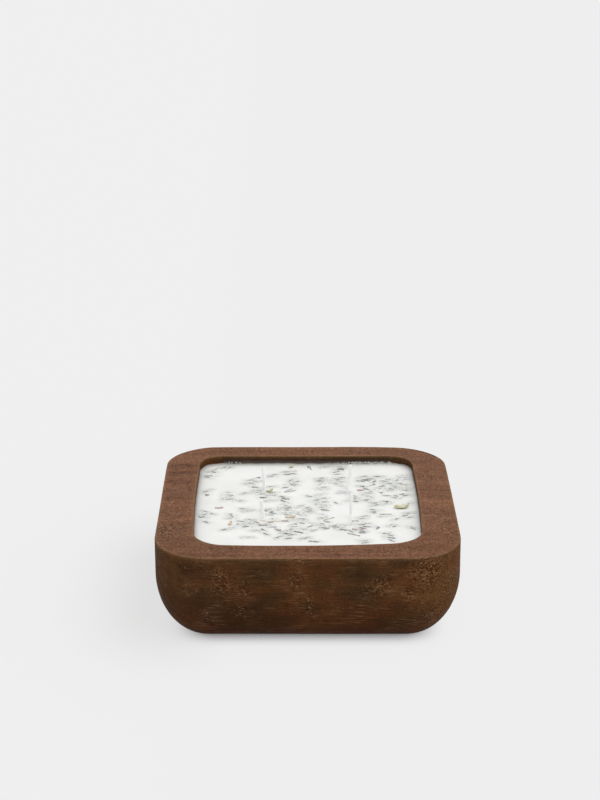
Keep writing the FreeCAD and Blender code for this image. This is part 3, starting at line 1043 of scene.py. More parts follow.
@dataclass
class Bowl:
    """The carved bowl. Its skin is one closed shell with the marks of the hand that made it.

    The fields from side_bow to corner_cut tell how the mouth strays from its true shape. They are
    millimetres.
    """

    foot_corner: float = 2.0 * MM
    flare_inset: float = 24.5 * MM
    flare_height: float = 32.0 * MM
    side_rim: float = 18.0 * MM
    end_rim: float = 15.0 * MM
    floor: float = 12.0 * MM
    floor_corner: float = 2.0 * MM
    floor_rounding: float = 13.0 * MM
    rim_edge: float = 0.6 * MM
    mouth_edge: float = 0.5 * MM
    side_steps: int = 56
    corner_steps: int = 26
    hollows: float = 0.45 * MM
    hollow_size: float = 42 * MM
    mouth_hollows: float = 0.3
    mouth_from: float = 13 * MM
    foot_height: float = 8 * MM
    ripples: float = 0.1 * MM
    ripple_size: float = 9 * MM
    flat_below: float = 1.5 * MM
    # How far the paler edge reaches, partly worn and partly a painted highlight.
    wear_and_highlight_reach: float = 0.9 * MM
    chance_patch: float = 17 * MM
    # The pale rim: partly sanding, partly painted light from above and painted sheen, less of it in
    # front.
    rim_sanded_and_lit_share: float = 0.62
    less_sheen_in_front: float = 0.1
    # How strong the painted light on the right side is.
    painted_light_share: float = 0.3
    # How dark the painted shade on the inner wall of the mouth is.
    mouth_shade_share: float = 0.72
    film_share: float = 0.45
    film_reach: float = 0.8 * MM
    to_wax: float = 4.2 * MM
    side_bow: float = 1.2
    bow_middle: float = 12.0
    bow_length: float = 110.0
    sides_in: float = 1.0
    front_from: float = 60.0
    front_curve: tuple[float, float, float] = (0.0009, 0.02, 0.5)
    corner_at: tuple[float, float] = (54.0, 57.0)
    corner_cut: float = 1.5
    corner_spread: float = 70.0

    def __post_init__(self) -> None:
        """Takes the outside from the frame."""
        _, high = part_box("bowl")
        self.height = high.z
        outer_corner = self.foot_corner + self.flare_inset
        self.outside = PlanShape(high.x, high.y, outer_corner)
        mouth_corner = self.floor_corner + self.floor_rounding
        self.mouth = PlanShape(high.x - self.side_rim, high.y - self.end_rim, mouth_corner)

    def ring(self, shape: PlanShape, up: float) -> np.ndarray:
        """A ring of the skin at one height."""
        return shape.ring(up, self.side_steps, self.corner_steps)

    def towards_middle(self, ring: np.ndarray, shares: Sequence[float]) -> list[np.ndarray]:
        """Copies of a level ring, shrunk to each share of its size."""
        return [ring * np.array([share, share, 1.0]) for share in shares]

    def outer_rings(self) -> list[np.ndarray]:
        """Lays the rings of the foot and the outer wall.

        Returns:
            The rings, from the middle of the foot to the rim.
        """
        foot = self.outside.grown(-self.flare_inset)
        rings = self.towards_middle(self.ring(foot, 0.0), (0.05, 0.3, 0.6, 0.85, 0.97))
        rings.append(self.ring(foot, 0.0))
        for angle in quarter(26):
            out = self.flare_inset * (math.sin(angle) - 1)
            up = self.flare_height * (1 - math.cos(angle))
            rings.append(self.ring(self.outside.grown(out), up))
        shoulder = self.height - self.rim_edge
        for share in (0.2, 0.4, 0.6, 0.75, 0.86, 0.93, 0.97, 1.0):
            up = self.flare_height + (shoulder - self.flare_height) * share
            rings.append(self.ring(self.outside, up))
        for angle in quarter(5):
            out = self.rim_edge * (math.cos(angle) - 1)
            up = shoulder + self.rim_edge * math.sin(angle)
            rings.append(self.ring(self.outside.grown(out), up))
        return rings

    def inner_rings(self) -> list[np.ndarray]:
        """Lays the rings of the rim's inner edge and the cavity.

        Returns:
            The rings, from the rim down to the middle of the floor.
        """
        lip = self.height - self.mouth_edge
        rings = [self.ring(self.mouth.grown(self.mouth_edge), self.height)]
        for angle in quarter(4):
            out = self.mouth_edge * (1 - math.sin(angle))
            up = lip + self.mouth_edge * math.cos(angle)
            rings.append(self.ring(self.mouth.grown(out), up))
        bottom = self.floor + self.floor_rounding
        for share in (0.04, 0.09, 0.15, 0.22, 0.32, 0.5, 0.75, 1.0):
            rings.append(self.ring(self.mouth, lip + (bottom - lip) * share))
        for angle in quarter(8):
            out = self.floor_rounding * (math.cos(angle) - 1)
            up = bottom - self.floor_rounding * math.sin(angle)
            rings.append(self.ring(self.mouth.grown(out), up))
        rings += self.towards_middle(rings[-1], (0.9, 0.6, 0.3, 0.05))
        return [self.hand_cut(ring) for ring in rings]

    def hand_cut(self, points: np.ndarray) -> np.ndarray:
        """Moves the mouth's points as the carver's hand did, by up to a millimetre or two.

        The sides bow out at their middle, the front edge closes in to the right and the back
        corners are cut tighter than the front ones.

        Args:
            points: places on the true mouth or inside it.

        Returns:
            The moved places.
        """
        x, y = points[:, 0] / MM, points[:, 1] / MM
        wave = np.cos(math.pi * (y - self.bow_middle) / self.bow_length)
        bow = self.side_bow * wave - self.sides_in
        front = np.clip(-y / self.front_from, 0, 1) ** 2 * np.polyval(self.front_curve, x)
        corner_x, corner_y = self.corner_at
        off_corner = (np.abs(x) - corner_x) ** 2 + (y - corner_y) ** 2
        corner = self.corner_cut * np.exp(-off_corner / self.corner_spread)
        moved = points.copy()
        moved[:, 0] += (bow * x / 57 + corner * np.sign(x)) * MM
        moved[:, 1] += (front + corner) * MM
        return moved

    def rings(self) -> list[np.ndarray]:
        """Joins the outer and the inner rings with those of the rim's top.

        Returns:
            All the rings of the skin, from the middle of the foot to that of the floor.
        """
        outer, inner = self.outer_rings(), self.inner_rings()
        top = [
            outer[-1] * (1 - share) + inner[0] * share
            for share in (0.03, 0.07, 0.13, 0.22, 0.34, 0.46, 0.58, 0.7, 0.8, 0.88, 0.94, 0.97)
        ]
        return outer + top + inner

    def carve(self, points: np.ndarray, normals: np.ndarray) -> np.ndarray:
        """Takes wood off the true shape: broad hollows, small ripples and the rubbed corners.

        Args:
            points: the true shape.
            normals: its outward directions.

        Returns:
            The carved points, all within the true shape.
        """
        broad = 0.5 + 0.5 * roughness_of(points, self.hollow_size, 1.0)
        small = 0.5 + 0.5 * roughness_of(points, self.ripple_size, 2.0)
        depth = self.hollows * broad + self.ripples * small
        off_foot = points[:, 2] > self.foot_height
        inside = (self.outside.gap_to(points) > self.mouth_from) & off_foot
        depth *= np.where(inside, self.mouth_hollows, 1.0)
        shape = self.outside
        out = 1 - (1 - math.sqrt(0.5)) * shape.radius / shape.half_x
        for side_x, side_y, rubbed_off, reach in RUBBED_CORNERS:
            corner = (side_x * shape.half_x * out, side_y * shape.half_y * out, self.height)
            away = np.linalg.norm(points - np.array(corner), axis=1) / (reach * MM)
            depth += rubbed_off * MM * np.exp(-(away**2))
        flat_foot = np.clip(points[:, 2] / self.flat_below, 0, 1)
        return points - normals * (depth * flat_foot)[:, None]

    def edge_wear_and_highlight(self, rings: Sequence[np.ndarray]) -> np.ndarray:
        """How near each point is to an edge that hands rub, 0 to 1; the paler edge is partly worn
        wood and partly a painted highlight.

        Args:
            rings: the rings of the skin.

        Returns:
            The share for each point of each ring.
        """
        profile = np.array([ring[0] for ring in rings])
        along = np.append(0, np.cumsum(np.linalg.norm(np.diff(profile, axis=0), axis=1)))
        edges = (len(self.outer_rings()) - 3, len(rings) - len(self.inner_rings()) + 2)
        away = np.min([np.abs(along - along[edge]) for edge in edges], axis=0)
        return np.repeat(np.exp(-away / self.wear_and_highlight_reach), len(rings[0]))

    def values(self, points: np.ndarray, normals: np.ndarray) -> dict[str, np.ndarray]:
        """What the wood's finish takes from the shape: where it is torn, stained or waxed, its
        sanding and its worn edges, and where painted light and painted shade go.

        Args:
            points: the true shape.
            normals: its outward directions.

        Returns:
            By name, the share of each at each point.
        """
        by_chance = roughness_of(points, self.chance_patch, 5.0) * 2.4 - 0.95
        on_rim = np.clip(normals[:, 2] * 4 - 3, 0, 1) * (points[:, 2] > self.height - 2 * MM)
        on_rim *= 1 - self.less_sheen_in_front * np.clip(-points[:, 1] / self.outside.half_y, 0, 1)
        below_rim = self.height - points[:, 2]
        in_mouth = self.mouth.gap_to(points) > -0.9 * self.mouth_edge
        in_mouth &= below_rim > 0.8 * self.mouth_edge
        from_wax = np.maximum(self.to_wax - below_rim, 0)
        return {
            "scuff": np.maximum(self.patched(points, TORN_GRAIN), np.clip(by_chance, 0, 0.6)),
            "smudge": self.patched(points, DARK_SMUDGES),
            # The rim's pale share: partly sanding, partly painted light and sheen.
            "sanded_and_lit": self.rim_sanded_and_lit_share * on_rim,
            "end_grain": np.clip(np.abs(normals[:, 0]) * 2.5 - 0.75, 0, 1),
            # Painted shade in patches on the left.
            "deep": self.patched(points, LEFT_SHADE_PATCHES),
            # Painted light on the right.
            "painted_light": self.painted_light_share * self.patched(points, RIGHT_LIGHT_PATCHES),
            # Painted shade over the whole inner wall of the mouth.
            "mouth_shade": self.mouth_shade_share * in_mouth,
            "film": self.film_share * in_mouth * np.exp(-from_wax / self.film_reach),
        }

    def build(self) -> None:
        """Makes the bowl and sets it in place of its CAD node."""
        rings = self.rings()
        points = np.concatenate(rings)
        faces = loft_faces(len(rings), len(rings[0]))
        true = bpy.data.meshes.new("true_skin")
        true.from_pydata(points.tolist(), [], faces)
        normals = np.zeros(len(points) * 3)
        true.vertex_normals.foreach_get("vector", normals)
        bpy.data.meshes.remove(true)
        normals = normals.reshape(-1, 3)
        values = {"wear_and_highlight": self.edge_wear_and_highlight(rings), **self.values(points, normals)}
        shells = Shells(*values)
        shells.add(self.carve(points, normals), faces, **values)
        shown(shells.build("carved_bowl", StainedHardwood()), ["bowl"])

    @staticmethod
    def patched(points: np.ndarray, patches: Sequence[Patch]) -> np.ndarray:
        """How much each point belongs to any of the patches, 0 to 1."""
        return np.max([patch.share(points) for patch in patches], axis=0)


# ---------------------------------------------------------------- how the strewn bits lie


@dataclass(frozen=True)
class Lie:
    """How one strewn bit lies: its middle, its thick end's direction, and its size."""

    middle: np.ndarray
    ahead: np.ndarray
    length: float
    width: float

    @property
    def aside(self) -> np.ndarray:
        """The level direction square to the bit."""
        side = np.cross([0.0, 0.0, 1.0], self.ahead)
        return side / np.linalg.norm(side)

    def placed(self, local: np.ndarray) -> np.ndarray:
        """Moves points to the bit's place.

        Args:
            local: points with X along the bit, Y to its side and Z upward.

        Returns:
            The points in the frame.
        """
        up = np.cross(self.ahead, self.aside)
        return self.middle + local @ np.array([self.ahead, self.aside, up])

    def distance(self, points: np.ndarray) -> np.ndarray:
        """How far each point is from the bit's middle line, in plan.

        Args:
            points: the places, one row each.

        Returns:
            The distance of each.
        """
        reach = self.ahead[:2] * (self.length / 2)
        start, run = self.middle[:2] - reach, 2 * reach
        share = np.clip((points[:, :2] - start) @ run / (run @ run), 0, 1)
        return np.linalg.norm(points[:, :2] - start - share[:, None] * run, axis=1)


def lies_of(node: str) -> list[Lie]:
    """Finds how each separate solid of a CAD node lies.

    Args:
        node: the node's name.

    Returns:
        One lie for each solid, from left to right.
    """
    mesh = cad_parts[node].data
    points = np.array([v.co for v in mesh.vertices], float)
    _, place = np.unique(np.round(points / (0.001 * MM)), axis=0, return_inverse=True)
    place = place.ravel()
    owner = list(range(place.max() + 1))

    def root(i: int) -> int:
        """Follows a vertex to the one that stands for its solid, and shortens the way to it."""
        while owner[i] != i:
            owner[i] = owner[owner[i]]
            i = owner[i]
        return i

    for polygon in mesh.polygons:
        first, *others = (root(place[i]) for i in polygon.vertices)
        for other in others:
            owner[root(other)] = root(first)
    groups: dict[int, list[int]] = {}
    for i, spot in enumerate(place):
        groups.setdefault(root(spot), []).append(i)
    lies = [lie_of(points[members]) for members in groups.values()]
    return sorted(lies, key=lambda lie: (round(lie.middle[0], 6), round(lie.middle[1], 6)))


def lie_of(points: np.ndarray) -> Lie:
    """Finds how one solid lies from its vertices.

    Args:
        points: the vertices, one row each.

    Returns:
        Its middle, its direction from thin end to thick end, its length and its greatest width.
    """
    centred = points - (points.max(0) + points.min(0)) / 2
    ahead = np.linalg.svd(centred - centred.mean(0), full_matrices=False)[2][0]
    along = centred @ ahead
    across = np.linalg.norm(centred - along[:, None] * ahead, axis=1)
    middle_along = (along.max() + along.min()) / 2
    length = along.max() - along.min()
    thick_front = across[along > middle_along + 0.4 * length].max()
    thick_back = across[along < middle_along - 0.4 * length].max()
    is_even = abs(thick_back - thick_front) < 0.01 * MM
    if thick_back > thick_front + 0.01 * MM or (is_even and ahead[0] < 0):
        ahead = -ahead
        middle_along = -middle_along
    middle = (points.max(0) + points.min(0)) / 2 + ahead * middle_along
    return Lie(middle, ahead, length, 2 * across.max())


# ---------------------------------------------------------------- the strewn bits


@dataclass(frozen=True)
class Trumpet:
    """A dried tube of a flower: a ribbed tube with a toothed, hollow mouth.

    Radii are shares of the widest one, given from the stalk end to the mouth.
    """

    radii: tuple[float, ...]
    ribs: int
    rib_depth: float
    teeth: int
    tooth_length: float
    mouth_depth: float
    rings: int = 9
    segments: int = 20

    def shell(
        self, length: float, radius: float, bend: float, crumple: float, seed: float
    ) -> tuple[np.ndarray, Faces, np.ndarray]:
        """Makes one tube along X, centred.

        Args:
            length: its length.
            radius: its widest radius.
            bend: how far its middle stands to one side.
            crumple: how far it is pushed in and out.
            seed: picks its crumples.

        Returns:
            Its points, its faces and how much painted shade each point takes, most in the grooves and
            inside the mouth.
        """
        turn = np.linspace(0, 2 * math.pi, self.segments, endpoint=False)
        places = np.linspace(0, 1, self.rings)
        spread = np.interp(places, np.linspace(0, 1, len(self.radii)), self.radii) * radius
        wave = np.cos(self.ribs * turn)
        rows, folds = [], []
        for share, wide in zip(places, spread):
            ribbed = wide * (1 + self.rib_depth * wave * math.sin(math.pi * min(1, 0.15 + share)))
            x = np.full_like(turn, length * (share - 0.5))
            if share == 1:
                x += self.tooth_length * np.cos(self.teeth * turn)
            rows.append(np.stack([x, ribbed * np.cos(turn), ribbed * np.sin(turn)], 1))
            # Painted shade in the grooves between the ribs.
            folds.append(0.35 - 0.35 * wave)
        # Painted shade inside the hollow mouth.
        for back, narrow, fold in ((0.25, 0.75, 0.7), (1.0, 0.5, 1.0)):
            inner = rows[self.rings - 1].copy()
            inner[:, 0] -= back * self.mouth_depth
            inner[:, 1:] *= narrow
            rows.append(inner)
            folds.append(np.full_like(turn, fold))
        points = np.concatenate(rows)
        points[:, 1] += bend * (1 - (2 * points[:, 0] / length) ** 2)
        shift = roughness_of(points, radius * 1.3, seed)
        points[:, 1:] *= (1 + crumple * shift)[:, None]
        return points, loft_faces(len(rows), self.segments), np.concatenate(folds)


@dataclass
class LavenderBuds:
    """The dried calyces, each a ribbed and slightly bent tube, some with a bit of flower left."""

    calyx: Trumpet = Trumpet(
        radii=(0.42, 0.72, 0.94, 1.0, 0.94, 0.8),
        ribs=7,
        rib_depth=0.1,
        teeth=5,
        tooth_length=0.16 * MM,
        mouth_depth=1.0 * MM,
        segments=21,
    )
    tuft: Trumpet = Trumpet(
        radii=(0.5, 0.75, 1.0),
        ribs=5,
        rib_depth=0.22,
        teeth=5,
        tooth_length=0.18 * MM,
        mouth_depth=0.4 * MM,
        rings=4,
        segments=15,
    )
    bend: float = 0.28 * MM
    crumple: float = 0.14
    flattened: float = 0.86
    with_tuft: float = 0.22
    tuft_length: float = 1.6 * MM
    seed: int = 7

    def build(self, lies: Sequence[Lie]) -> None:
        """Makes the buds and the flower left in some of them.

        Args:
            lies: how each bud lies.
        """
        chance = random.Random(self.seed)
        buds, tufts = Shells("tint", "fold"), Shells("tint", "fold")
        for number, lie in enumerate(lies):
            radius = lie.width / 2
            bend = chance.uniform(-self.bend, self.bend)
            points, faces, folds = self.calyx.shell(lie.length, radius, bend, self.crumple, number)
            points[:, 2] *= self.flattened
            tint = chance.betavariate(1.6, 1.8)
            buds.add(lie.placed(points), faces, tint=tint, fold=folds)
            if chance.random() < self.with_tuft:
                size = chance.uniform(0.45, 0.65) * radius
                way = (self.tuft_length, size, 0.0, 0.3, number + 0.5)
                points, faces, folds = self.tuft.shell(*way)
                points[:, 0] += lie.length / 2
                tufts.add(lie.placed(points), faces, tint=chance.random(), fold=folds)
        shown(buds.build("lavender_calyces", CALYX), ["lavender_buds"])
        shown(tufts.build("lavender_tufts", COROLLA), ["lavender_buds"])


@dataclass
class LavenderChaff:
    """Slivers of broken calyx and leaf that lie among the buds."""

    share: float = 0.2
    spread: float = 1.0
    shortest: float = 0.9 * MM
    longest: float = 3.2 * MM
    seed: int = 13

    def build(self, lies: Sequence[Lie], level: float) -> None:
        """Makes the slivers.

        Args:
            lies: how each bud lies.
            level: the wax's level.
        """
        chance = random.Random(self.seed)
        shells = Shells("tint", "fold")
        for _ in range(int(self.share * len(lies))):
            lie = chance.choice(lies)
            turn = chance.gauss(0, 0.7)
            ahead = lie.ahead * math.cos(turn) + lie.aside * math.sin(turn)
            offset = (chance.gauss(0, self.spread), chance.gauss(0, self.spread), 0.0)
            middle = lie.middle + np.array(offset) * MM
            middle[2] = level + 0.06 * MM
            length = chance.uniform(self.shortest, self.longest)
            along = np.linspace(-0.5, 0.5, 6)
            path = middle + np.outer(along * length, ahead)
            path[:, 2] += chance.uniform(0.0, 0.35) * MM * np.cos(math.pi * along)
            radii = chance.uniform(0.1, 0.24) * MM * (1 - 0.8 * np.abs(2 * along) ** 3)
            points, faces = tube(path, radii, 5)
            # Each sliver takes a random share of the painted crease shade.
            shells.add(points, faces, tint=chance.random(), fold=chance.uniform(0, 0.4))
        shown(shells.build("lavender_chaff", CALYX), ["lavender_buds"])


@dataclass
class LavenderFlorets:
    """The flowers that have fallen from their calyces, as crumpled trumpets."""

    corolla: Trumpet = Trumpet(
        radii=(0.35, 0.4, 0.5, 0.7, 1.15),
        ribs=5,
        rib_depth=0.12,
        teeth=5,
        tooth_length=0.4 * MM,
        mouth_depth=1.6 * MM,
    )
    crumple: float = 0.35
    flattened: float = 0.7
    seed: int = 19

    def build(self) -> None:
        """Makes the florets in place of their CAD node."""
        chance = random.Random(self.seed)
        shells = Shells("tint", "fold")
        for number, lie in enumerate(lies_of("lavender_florets")):
            bend = chance.uniform(-0.4, 0.4) * MM
            size = (lie.length, lie.width / 2)
            points, faces, folds = self.corolla.shell(*size, bend, self.crumple, number + 30)
            points[:, 2] *= self.flattened
            shells.add(lie.placed(points), faces, tint=chance.random(), fold=folds)
        shown(shells.build("lavender_corollas", COROLLA), ["lavender_florets"])


def tube(path: np.ndarray, radii: np.ndarray, segments: int) -> tuple[np.ndarray, Faces]:
    """Makes a round tube along a path.

    Args:
        path: the middle line, one row for each ring.
        radii: the radius at each ring.
        segments: how many sides it has.

    Returns:
        Its points and its faces.
    """
    runs = np.gradient(path, axis=0)
    ahead = runs / np.linalg.norm(runs, axis=1)[:, None]
    start = np.array([0.0, 0.0, 1.0]) if abs(ahead[0, 2]) < 0.8 else np.array([1.0, 0.0, 0.0])
    side = np.cross(ahead, start)
    side /= np.linalg.norm(side, axis=1)[:, None]
    other = np.cross(ahead, side)
    turn = np.linspace(0, 2 * math.pi, segments, endpoint=False)
    ring = side[:, None, :] * np.cos(turn)[:, None] + other[:, None, :] * np.sin(turn)[:, None]
    points = path[:, None, :] + ring * radii[:, None, None]
    return points.reshape(-1, 3), loft_faces(len(path), segments)


@dataclass
class FlowerStems:
    """Thin bits of stalk, and one long fibre that curls."""

    rings: int = 18
    sides: int = 8
    fibre_from: float = 12 * MM
    fibre_sway: float = 1.3 * MM
    stalk_sway: float = 0.35 * MM
    seed: int = 23

    def build(self) -> None:
        """Makes the stems in place of their CAD node."""
        chance = random.Random(self.seed)
        shells = Shells("tint", "fold")
        for number, lie in enumerate(lies_of("flower_stems")):
            is_fibre = lie.length > self.fibre_from
            along = np.linspace(-0.5, 0.5, self.rings)
            sway = self.fibre_sway if is_fibre else self.stalk_sway
            wave = 1.0 if is_fibre else chance.uniform(-1, 1)
            path = np.zeros((self.rings, 3))
            path[:, 0] = along * lie.length
            path[:, 1] = -sway * wave * np.cos(math.pi * along * 1.2)
            path[:, 2] = 0.25 * MM
            thin = 0.5 if is_fibre else 0.85
            radii = lie.width / 2 * (thin + 0.2 * roughness_of(path, 1.5 * MM, number))
            points, faces = tube(lie.placed(path), radii, self.sides)
            tint = 1.0 if is_fibre else chance.uniform(0.0, 0.6)
            shells.add(points, faces, tint=tint, fold=0.0)
        shown(shells.build("lavender_stalks", STALK), ["flower_stems"])


@dataclass(frozen=True)
class Blade:
    """A thin dried petal or leaf: an oval sheet, curled and puckered, with a raised midrib."""

    curl: float
    cup: float
    pucker: float
    rib: float
    thickness: float = 0.18 * MM
    rows: int = 22
    columns: int = 11

    def shell(
        self, length: float, width: float, seed: float
    ) -> tuple[np.ndarray, Faces, np.ndarray]:
        """Makes one blade along X, centred.

        Args:
            length: its length.
            width: its greatest width.
            seed: picks its puckers.

        Returns:
            Its points, its faces, and how near its edge each point is, 0 to 1.
        """
        along = np.linspace(-1, 1, self.rows)
        aside = np.linspace(-1, 1, self.columns)
        half = width / 2 * (0.08 + 0.92 * (1 - np.abs(along) ** 2.4) ** 0.7)
        x = np.repeat(along * length / 2, self.columns)
        y = np.outer(half, aside).ravel()
        edge = np.abs(np.tile(aside, self.rows))
        flat = np.stack([x, y, np.zeros_like(x)], 1)
        lift = self.curl * np.repeat(along**2, self.columns) + self.cup * edge**2
        lift += self.pucker * roughness_of(flat, width * 0.35, seed)
        lift += self.rib * np.exp(-((edge / 0.16) ** 2))
        top = flat + np.stack([np.zeros_like(x), np.zeros_like(x), lift + self.thickness / 2], 1)
        bottom = top - np.array([0.0, 0.0, self.thickness])
        count = len(top)
        faces: Faces = []
        for row in range(self.rows - 1):
            for column in range(self.columns - 1):
                a = row * self.columns + column
                b = a + self.columns
                faces.append((a, b, b + 1, a + 1))
                faces.append((count + a, count + a + 1, count + b + 1, count + b))
        rim = [row * self.columns for row in range(self.rows)]
        rim += [(self.rows - 1) * self.columns + column for column in range(1, self.columns)]
        rim += [row * self.columns + self.columns - 1 for row in range(self.rows - 2, -1, -1)]
        rim += list(range(self.columns - 2, 0, -1))
        for a, b in zip(rim, rim[1:] + rim[:1]):
            faces.append((b, a, count + a, count + b))
        return np.concatenate([top, bottom]), faces, np.tile(edge, 2)


class BladeKind(Enum):
    """The petals and leaves: node, slot, finish and shape."""

    ORANGE = (
        "orange_petals",
        "orange_petal",
        ORANGE_PETAL,
        Blade(curl=0.5 * MM, cup=0.35 * MM, pucker=0.2 * MM, rib=0.0),
    )
    PINK = (
        "pink_petals",
        "pink_petal",
        PINK_PETAL,
        Blade(curl=0.35 * MM, cup=0.3 * MM, pucker=0.15 * MM, rib=0.05 * MM),
    )
    GREEN = (
        "green_leaves",
        "green_leaf",
        LEAF,
        Blade(curl=0.6 * MM, cup=0.9 * MM, pucker=0.25 * MM, rib=0.15 * MM),
    )

    def build(self) -> None:
        """Makes the blades of this kind in place of their CAD node."""
        node, slot, finish, blade = self.value
        chance = random.Random(node)
        shells = Shells("tint", "fold")
        for number, lie in enumerate(lies_of(node)):
            points, faces, edge = blade.shell(lie.length, lie.width, number + 50)
            points[:, 2] += 0.12 * MM
            tint = 0.15 + 0.75 * edge**1.5 * chance.uniform(0.7, 1.0)
            # Painted shade along the middle, where the blade dips between its curled-up sides.
            folds = 0.5 * np.exp(-((edge / 0.12) ** 2))
            shells.add(lie.placed(points), faces, tint=tint, fold=folds)
        shown(shells.build(f"dried_{node}", finish), [node])


# ---------------------------------------------------------------- the wax


# Where crumbs of wax stick to the back wall, three in four of them on the right: the middle along X
# and the spread, in millimetres.
CRUMB_PLACES = ((34.0, 7.0), (34.0, 7.0), (34.0, 7.0), (-44.0, 4.0))


@dataclass
class Wax:
    """The poured wax: a closed body whose top creeps up the wood and hugs what lies in it."""

    bowl: Bowl
    rim_to_wax: float = 4.8 * MM
    creep_height: float = 0.55 * MM
    creep_reach: float = 1.1 * MM
    into_wood: float = 0.7 * MM
    swell: float = 0.12 * MM
    swell_size: float = 24 * MM
    creep_size: float = 4 * MM
    crust_size: float = 0.9 * MM
    crust_middle: float = 34.0 * MM
    crust_half: float = 17.0 * MM
    # The dim edge of the wax: partly wood showing through, partly painted shade beside the walls,
    # wider on the left and at the back.
    thin_and_shaded_share: float = 0.8
    thin_and_shaded_reach: float = 0.4 * MM
    more_shade_left: float = 0.9 * MM
    more_shade_back: float = 1.6 * MM
    cover: float = 0.42 * MM
    hug: float = 0.75 * MM
    veil_reach: float = 2.2 * MM
    side_steps: int = 160
    corner_steps: int = 32
    crumbs: int = 170
    seed: int = 31

    def __post_init__(self) -> None:
        """Takes its level from the bowl that it fills."""
        self.level = self.bowl.height - self.rim_to_wax

    def build(self, lies: Sequence[Lie]) -> None:
        """Makes the wax and the crumbs of it on the wall.

        Args:
            lies: how each bud lies in it.
        """
        rings = self.top_rings()
        top = np.concatenate(rings)
        top[:, 2], veil = self.surface(top, lies)
        thin = self.thin_and_shaded_edge(top)
        under = self.under_rings()
        body = self.bowl.hand_cut(np.concatenate([top, *under]))
        hidden = np.zeros(len(body) - len(top))
        shells = Shells("veil", "thin")
        faces = loft_faces(len(rings) + len(under), len(rings[0]))
        shells.add(body, faces, veil=np.append(veil, hidden), thin=np.append(thin, hidden))
        self.add_crumbs(shells)
        shown(shells.build("poured_wax", PouredWax()), ["wax_fill"])

    def ring(self, shape: PlanShape, up: float) -> np.ndarray:
        """A ring of the wax at one height."""
        return shape.ring(up, self.side_steps, self.corner_steps)

    def top_rings(self) -> list[np.ndarray]:
        """Lays level rings over the top, closer together near the wood.

        Returns:
            The rings, from near the middle to a little inside the wood.
        """
        widest = min(self.bowl.mouth.half_x, self.bowl.mouth.half_y)
        insets, inset, step = [], -self.into_wood, 0.3 * MM
        while inset < widest - 0.6 * MM:
            insets.append(inset)
            inset += step
            step = min(step * 1.08, 0.85 * MM)
        return [self.ring(self.bowl.mouth.grown(-i), self.level) for i in reversed(insets)]

    def under_rings(self) -> list[np.ndarray]:
        """Lays rings down the side and over the floor, against the wood.

        Returns:
            The rings, from just under the top to near the middle of the floor.
        """
        side, rounding = self.bowl.mouth, self.bowl.floor_rounding
        bottom = self.bowl.floor + rounding
        rings = [self.ring(side, self.level - 2 * MM), self.ring(side, bottom)]
        for angle in quarter(6):
            out = rounding * (math.cos(angle) - 1)
            rings.append(self.ring(side.grown(out), bottom - rounding * math.sin(angle)))
        return rings + self.bowl.towards_middle(rings[-1], (0.6, 0.1))

    def thin_and_shaded_edge(self, points: np.ndarray) -> np.ndarray:
        """How dark the edge of the wax is, most on the left and at the back: partly wood showing
        through the thin wax, partly painted shade beside the walls.

        Args:
            points: the places on the top, one row each.

        Returns:
            The share of the darker tone at each point, 0 to 1.
        """
        inside = np.maximum(self.bowl.mouth.gap_to(points), 0)
        left = np.clip(-points[:, 0] / self.bowl.mouth.half_x, 0, 1) ** 2
        back = np.clip(points[:, 1] / self.bowl.mouth.half_y, 0, 1) ** 4
        front = np.clip(-points[:, 1] / self.bowl.mouth.half_y, 0, 1) ** 6
        reach = self.thin_and_shaded_reach + self.more_shade_left * left + self.more_shade_back * back
        return self.thin_and_shaded_share * (1 - front) * np.exp(-inside / reach)

    def surface(self, points: np.ndarray, lies: Sequence[Lie]) -> tuple[np.ndarray, np.ndarray]:
        """The height and the grey-green haze at each point of the top.

        Args:
            points: the places, one row each.
            lies: how each bud lies.

        Returns:
            The heights, and how strongly a bud under the skin shows through with painted shade round
            it,
            0 to 1.
        """
        chance = random.Random(self.seed)
        inside = self.bowl.mouth.gap_to(points)
        uneven = 1 + 0.6 * roughness_of(points, self.creep_size, 3.0)
        height = self.level + self.swell * roughness_of(points, self.swell_size, 4.0)
        off_crust = (points[:, 0] - self.crust_middle) / self.crust_half
        crust = np.exp(-(off_crust**4)) * (points[:, 1] > 0)
        ragged = np.clip(0.2 + roughness_of(points, self.crust_size, 6.0), 0, 1)
        creep = self.creep_height * (uneven + 3.0 * crust * ragged)
        height += creep * np.exp(-np.maximum(inside, 0) / self.creep_reach)
        mound, veil = np.zeros(len(points)), np.zeros(len(points))
        for lie in lies:
            gap = lie.distance(points)
            sunk = chance.random()
            near, nearly = np.exp(-((gap / self.hug) ** 2)), np.exp(-((gap / self.veil_reach) ** 2))
            mound = np.maximum(mound, self.cover * (0.35 + 0.65 * sunk) * near)
            # Painted shade round each bud, with its colour showing through the wax.
            veil = np.maximum(veil, (0.34 + 0.46 * sunk) * nearly)
        return height + mound, veil

    def add_crumbs(self, shells: Shells) -> None:
        """Sticks crumbs of wax to the back wall, just over the wax.

        Args:
            shells: the wax so far.
        """
        chance = random.Random(self.seed)
        wall = self.bowl.mouth
        for number in range(self.crumbs):
            middle, spread = chance.choice(CRUMB_PLACES)
            x = chance.gauss(middle, spread) * MM
            x = max(-wall.half_x + wall.radius, min(wall.half_x - wall.radius, x))
            above = abs(chance.gauss(0, 0.45)) * MM
            size = chance.uniform(0.25, 0.6) * MM * math.exp(-above / MM)
            up = self.level + self.creep_height + above
            along = x + size * np.array([-1.0, -0.6, 0.0, 0.6, 1.0])
            path = np.stack([along, np.full(5, wall.half_y), np.full(5, up)], 1)
            radii = size * np.array([0.2, 0.8, 1.0, 0.8, 0.2])
            points, faces = tube(self.bowl.hand_cut(path), radii, 8)
            points += 0.4 * size * roughness_of(points, size, number)[:, None]
